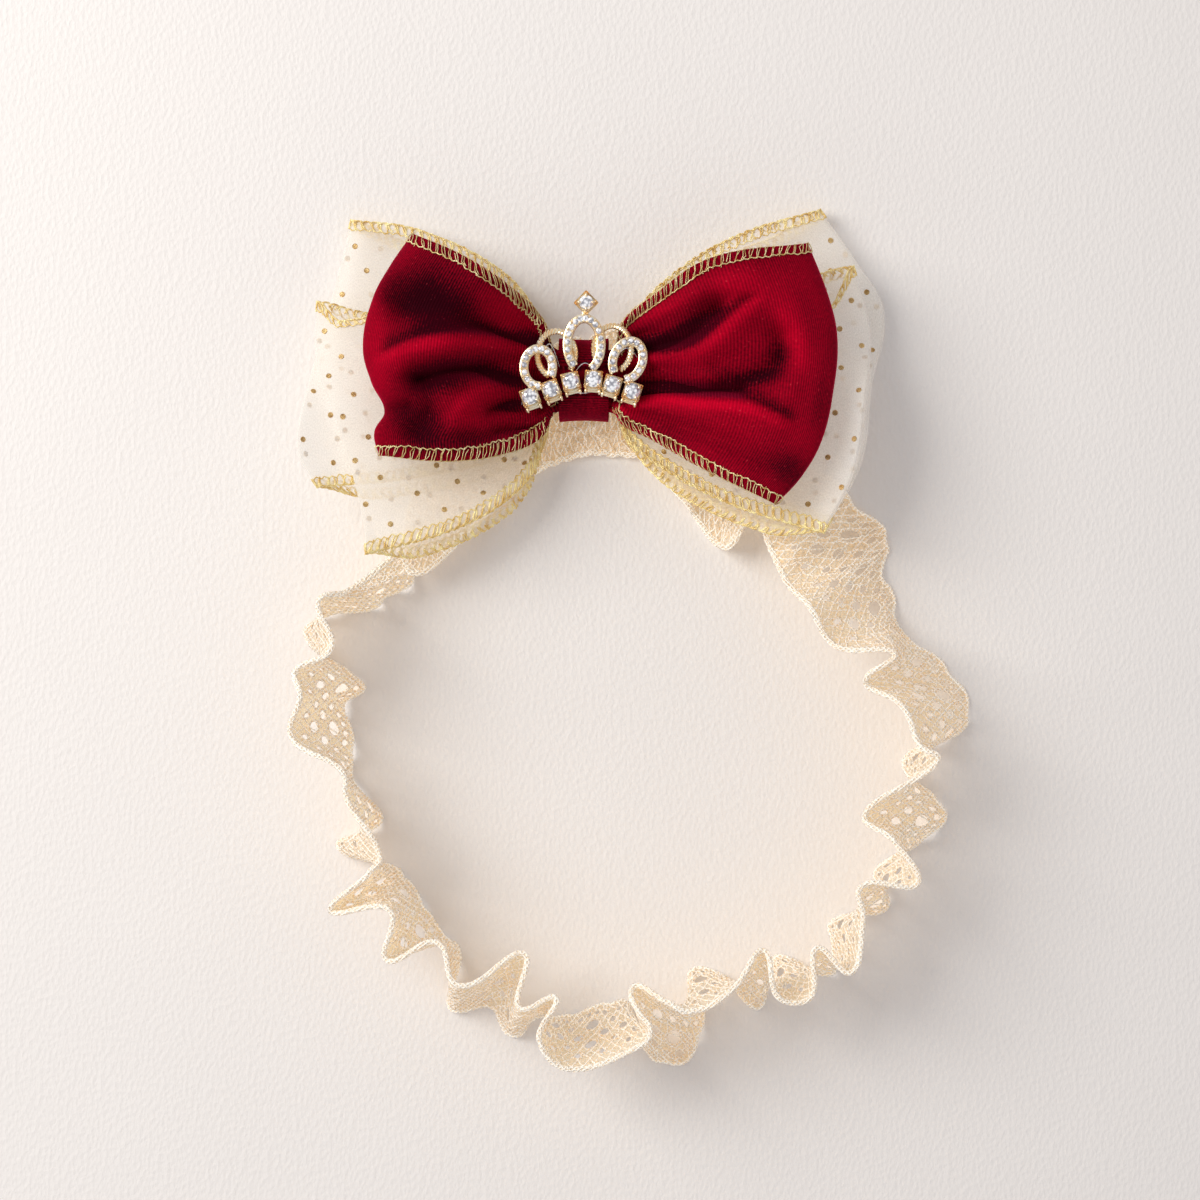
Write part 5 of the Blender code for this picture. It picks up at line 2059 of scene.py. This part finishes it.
@dataclass
class CrownCharm:
    """The gold crown: settings, looped bars with small stones, roped arcs and main stones."""

    low: float = 13.9
    bar: Section = Section(2.0, 0.5, 1.8)
    neck: Section = Section(1.4, 0.3, 1.5)
    foot: Section = Section(0.55, 0.2, 1.1)
    lip: Section = Section(0.5, 0.3, 1.5)
    rope_radius: float = 0.38
    rope_spread: tuple[float, float] = (0.34, 0.24)
    rope_pitch: float = 1.4
    rope_height: float = 0.65
    cup_side: float = 3.8
    cup_high: float = 2.25
    cup_rim: float = 0.35
    cup_hollow: float = 0.5
    cup_rounding: float = 0.18
    stone_radius: float = 1.7
    top_stone_radius: float = 1.5
    main_cut: StoneCut = StoneCut(1.05, 2.5, 3.2, 8)
    small_stone_radius: float = 0.64
    claws: tuple[Claw, ...] = (Claw(0.22, -0.25, (0.40, 0.34, 0.85)), Claw(-0.06, 0.38, (0.38, 0.27, 0.24)))
    foot_drop: float = 2.45
    foot_reach: float = 1.45
    foot_bead: tuple[float, float, float] = (0.38, 0.72, 0.6)
    lip_reach: float = 2.1
    bead_reach: float = 0.62
    bead_rise: float = 0.16
    bead: tuple[float, float, float] = (0.23, 0.23, 0.26)
    sewing_depth: float = 0.8
    sewing_rise: float = 1.4
    sewing_radius: float = 0.09

    def arc_place(self, arc: Arc, part: float) -> Vector:
        """Find a place on a crown arc.

        Args:
            arc: The arc.
            part: The part of its sweep.

        Returns:
            The place as seen from above, at height 0.
        """
        angle = math.radians(arc.start - part * arc.sweep)
        spot = Vector((arc.half_width * math.cos(angle), arc.half_height * math.sin(angle)))
        turned = Matrix.Rotation(math.radians(arc.lean), 2) @ spot
        return Vector((arc.x + turned.x, arc.y + turned.y, 0.0))

    def settings(self) -> list[Setting]:
        """Every main stone's setting.

        Returns:
            The bottom row's settings from left to right, turned as the row runs, and then the top one.
        """
        rows = []
        for index, place in enumerate(BOTTOM_STONES):
            before = BOTTOM_STONES[max(index - 1, 0)]
            after = BOTTOM_STONES[min(index + 1, len(BOTTOM_STONES) - 1)]
            turn = math.atan2(after.y - before.y, after.x - before.x)
            rows.append(Setting(*place, self.stone_radius, turn))
        return rows + [Setting(*TOP_STONE, self.top_stone_radius, 0.25 * math.pi)]

    def lay(self, shape: BMesh) -> None:
        """Bring a shape to where it lies, in metres.

        Args:
            shape: The shape, in mm, at the places where it is seen.
        """
        pull = 1.0 - self.low / CHART.height
        for vert in shape.verts:
            x, y, z = vert.co
            vert.co = Vector((x * pull + CHART.origin_x, y * pull + CHART.origin_y, z + self.low)) * MM

    def add_cup(self, shape: BMesh, setting: Setting) -> None:
        """Add one setting: a square plate, its cup and four claws.

        Args:
            shape: The bmesh that it is added to.
            setting: Where it lies.
        """
        cup = bmesh.new()
        x, y, radius, turn = setting
        size = Matrix.Diagonal((self.cup_side, self.cup_side, self.cup_high, 1.0))
        bmesh.ops.create_cube(cup, size=1.0, matrix=turned_to(x, y, 0.5 * self.cup_high, turn) @ size)
        top = [face for face in cup.faces if face.normal.z > 0.9]
        bmesh.ops.inset_region(cup, faces=top, thickness=self.cup_rim, depth=-self.cup_hollow)
        round_edges(cup, list(cup.edges), self.cup_rounding)
        join(shape, cup)
        for corner in range(4):
            angle = turn + math.radians(45.0 + 90.0 * corner)
            for claw in self.claws:
                reach = radius + claw.reach
                add_bead(shape, x + reach * math.cos(angle), y + reach * math.sin(angle),
                         self.main_cut.girdle + claw.rise, claw.size, angle)

    def add_bar(self, shape: BMesh, arc: Arc) -> None:
        """Add one looped bar with the beads that hold its small stones.

        Args:
            shape: The bmesh that it is added to.
            arc: The bar's way.
        """
        path = [self.arc_place(arc, step / 40.0) for step in range(41)]
        sweep(shape, path, self.bar)
        step = 0.004
        for stone in range(arc.stones + 1):
            part = min(max(stone / arc.stones, step), 1.0 - step)
            here = self.arc_place(arc, part)
            ahead = (self.arc_place(arc, part + step) - self.arc_place(arc, part - step)).normalized()
            for way in (-1.0, 1.0):
                spot = here + Vector((ahead.y, -ahead.x, 0.0)) * (self.bead_reach * way)
                add_bead(shape, spot.x, spot.y, self.bar.high + self.bead_rise, self.bead)

    def add_foot(self, shape: BMesh, setting: Setting) -> None:
        """Add the short bar with two beads under a setting, and the lip round its lower side.

        Args:
            shape: The bmesh that they are added to.
            setting: The setting.
        """
        x, y, _, turn = setting
        foot = []
        for reach in (-self.foot_reach, self.foot_reach):
            spot = Vector((x + reach * math.cos(turn) + self.foot_drop * math.sin(turn),
                           y + reach * math.sin(turn) - self.foot_drop * math.cos(turn), 0.0))
            add_bead(shape, spot.x, spot.y, 1.0, self.foot_bead, turn)
            foot.append(spot)
        sweep(shape, foot, self.foot)
        lip = []
        for step in range(9):
            angle = turn - math.radians(150.0 - 15.0 * step)
            lip.append(Vector((x + self.lip_reach * math.cos(angle),
                               y + self.lip_reach * math.sin(angle), 0.0)))
        sweep(shape, lip, self.lip)

    def ropes(self) -> list[Array]:
        """The strands of the roped arcs.

        Returns:
            One path for each strand, in the seen places, in mm.
        """
        strands = []
        for arc in CROWN_ROPES:
            path = np.array([self.arc_place(arc, step / 90.0) for step in range(91)])
            path[:, 2] = self.rope_height
            path = evenly(path, 0.12)
            up = np.tile((0.0, 0.0, 1.0), (len(path), 1))
            strands += twisted(path, up, self.rope_spread, self.rope_pitch, 2)
        return strands

    def metal(self) -> None:
        """The crown's metal, as one piece."""
        shape = bmesh.new()
        settings = self.settings()
        for setting in settings:
            self.add_cup(shape, setting)
        for arc in CROWN_BARS:
            self.add_bar(shape, arc)
        for setting in settings[:-1]:
            self.add_foot(shape, setting)
        middle = CROWN_BARS[1]
        neck = (Vector((middle.x + 0.1, middle.y + middle.half_height - 0.5, 0.0)), Vector((*TOP_STONE, 0.0)))
        sweep(shape, neck, self.neck)
        add_tubes(shape, self.ropes(), self.rope_radius)
        shade_smooth(shape)
        self.lay(shape)
        piece = new_piece(shape, "crown_metal", PolishedGold())
        piece.data.set_sharp_from_angle(angle=math.radians(40.0))
        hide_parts("crown_frame")

    def stones(self) -> None:
        """The seven main stones, and the small ones on the bars."""
        for index, setting in enumerate(self.settings()):
            word = "top" if index == len(BOTTOM_STONES) else str(index + 1)
            shape = bmesh.new()
            add_stone(shape, setting, self.main_cut)
            self.lay(shape)
            piece = new_piece(shape, f"cut_stone_{word}", Crystal())
            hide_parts(f"crown_stone_{word}")
        shape = bmesh.new()
        small_cut = StoneCut(self.bar.high - 0.3, self.bar.high + 0.18, self.bar.high + 0.42, 6)
        for arc in CROWN_BARS:
            for stone in range(arc.stones):
                here = self.arc_place(arc, (stone + 0.5) / arc.stones)
                add_stone(shape, Setting(here.x, here.y, self.small_stone_radius, 0.7 * stone), small_cut)
        self.lay(shape)
        new_piece(shape, "crown_small_stones", Crystal())

    def sewing(self) -> None:
        """The clear thread that holds the charm to the velvet."""
        part = np.linspace(0.0, 1.0, 13)
        rise = np.sin(math.pi * part)
        height = self.low - self.sewing_depth + (self.bar.high + self.sewing_rise) * rise
        paths = []
        for start, top, end in np.array(SEWING):
            seen = mix(start, end, part[:, None]) + (top - 0.5 * (start + end)) * rise[:, None]
            paths.append(CHART.to_frame(seen[:, 0], seen[:, 1], height))
        bundles = ((paths, self.sewing_radius),)
        thread_piece("crown_sewing_thread", ClearThread(), bundles, rounds=1)

    def build(self) -> None:
        """Make the whole charm."""
        self.metal()
        self.stones()
        self.sewing()


@dataclass
class Studio:
    """The floor, the light of one window, a dim even room and the camera, with its sizes in metres."""

    floor_size: float = 12.0
    camera_height: float = 0.709
    lens: float = 100.0
    sensor: float = 36.0
    window_place: tuple[float, float, float] = (-0.62, 0.30, 0.62)
    window_size: tuple[float, float] = (0.5, 0.6)
    window_power: float = 6.2
    window_colour: tuple[float, float, float] = (1.0, 0.975, 0.925)
    room_colour: Colour = (0.97, 0.965, 1.0, 1.0)
    room_strength: float = 0.55

    def floor(self) -> None:
        """Lay the floor just under the headband."""
        shape = bmesh.new()
        bmesh.ops.create_grid(shape, x_segments=1, y_segments=1, size=0.5 * self.floor_size,
                              matrix=Matrix.Translation((0.0, 0.0, FLOOR_LEVEL)))
        mesh = bpy.data.meshes.new("floor")
        shape.to_mesh(mesh)
        shape.free()
        floor = bpy.data.objects.new("floor", mesh)
        mesh.materials.append(Leatherette().material())
        bpy.context.scene.collection.objects.link(floor)

    def lights(self) -> None:
        """Set up the window, which shines at the middle of the frame, and the room."""
        data = bpy.data.lights.new("window", "AREA")
        data.shape = "RECTANGLE"
        data.size, data.size_y = self.window_size
        data.energy = self.window_power
        data.color = self.window_colour
        window = bpy.data.objects.new("window", data)
        window.location = self.window_place
        window.rotation_euler = (-Vector(self.window_place)).to_track_quat("-Z", "Y").to_euler()
        bpy.context.scene.collection.objects.link(window)
        world = bpy.data.worlds.new("room")
        world.use_nodes = True
        Board(world.node_tree).fill(world.node_tree.nodes["Background"], Color=self.room_colour,
                                    Strength=self.room_strength)
        bpy.context.scene.world = world

    def camera(self) -> None:
        """Hang the camera over the middle of the chart."""
        data = bpy.data.cameras.new("camera")
        data.lens = self.lens
        data.sensor_width = self.sensor
        data.clip_start = 0.01
        camera = bpy.data.objects.new("camera", data)
        camera.location = (CHART.origin_x * MM, CHART.origin_y * MM, self.camera_height)
        bpy.context.scene.collection.objects.link(camera)
        bpy.context.scene.camera = camera

    def build(self) -> None:
        """Set up the studio."""
        self.floor()
        self.lights()
        self.camera()
        bpy.context.scene.view_settings.view_transform = "Standard"


def main() -> None:
    """Build the headband and its studio."""
    logging.basicConfig(level=logging.INFO, format="%(name)s %(message)s")
    Studio().build()
    LaceBand().build()
    SheerBows().build()
    VelvetBow().build()
    CrownCharm().build()


if __name__ == "__main__":
    main()
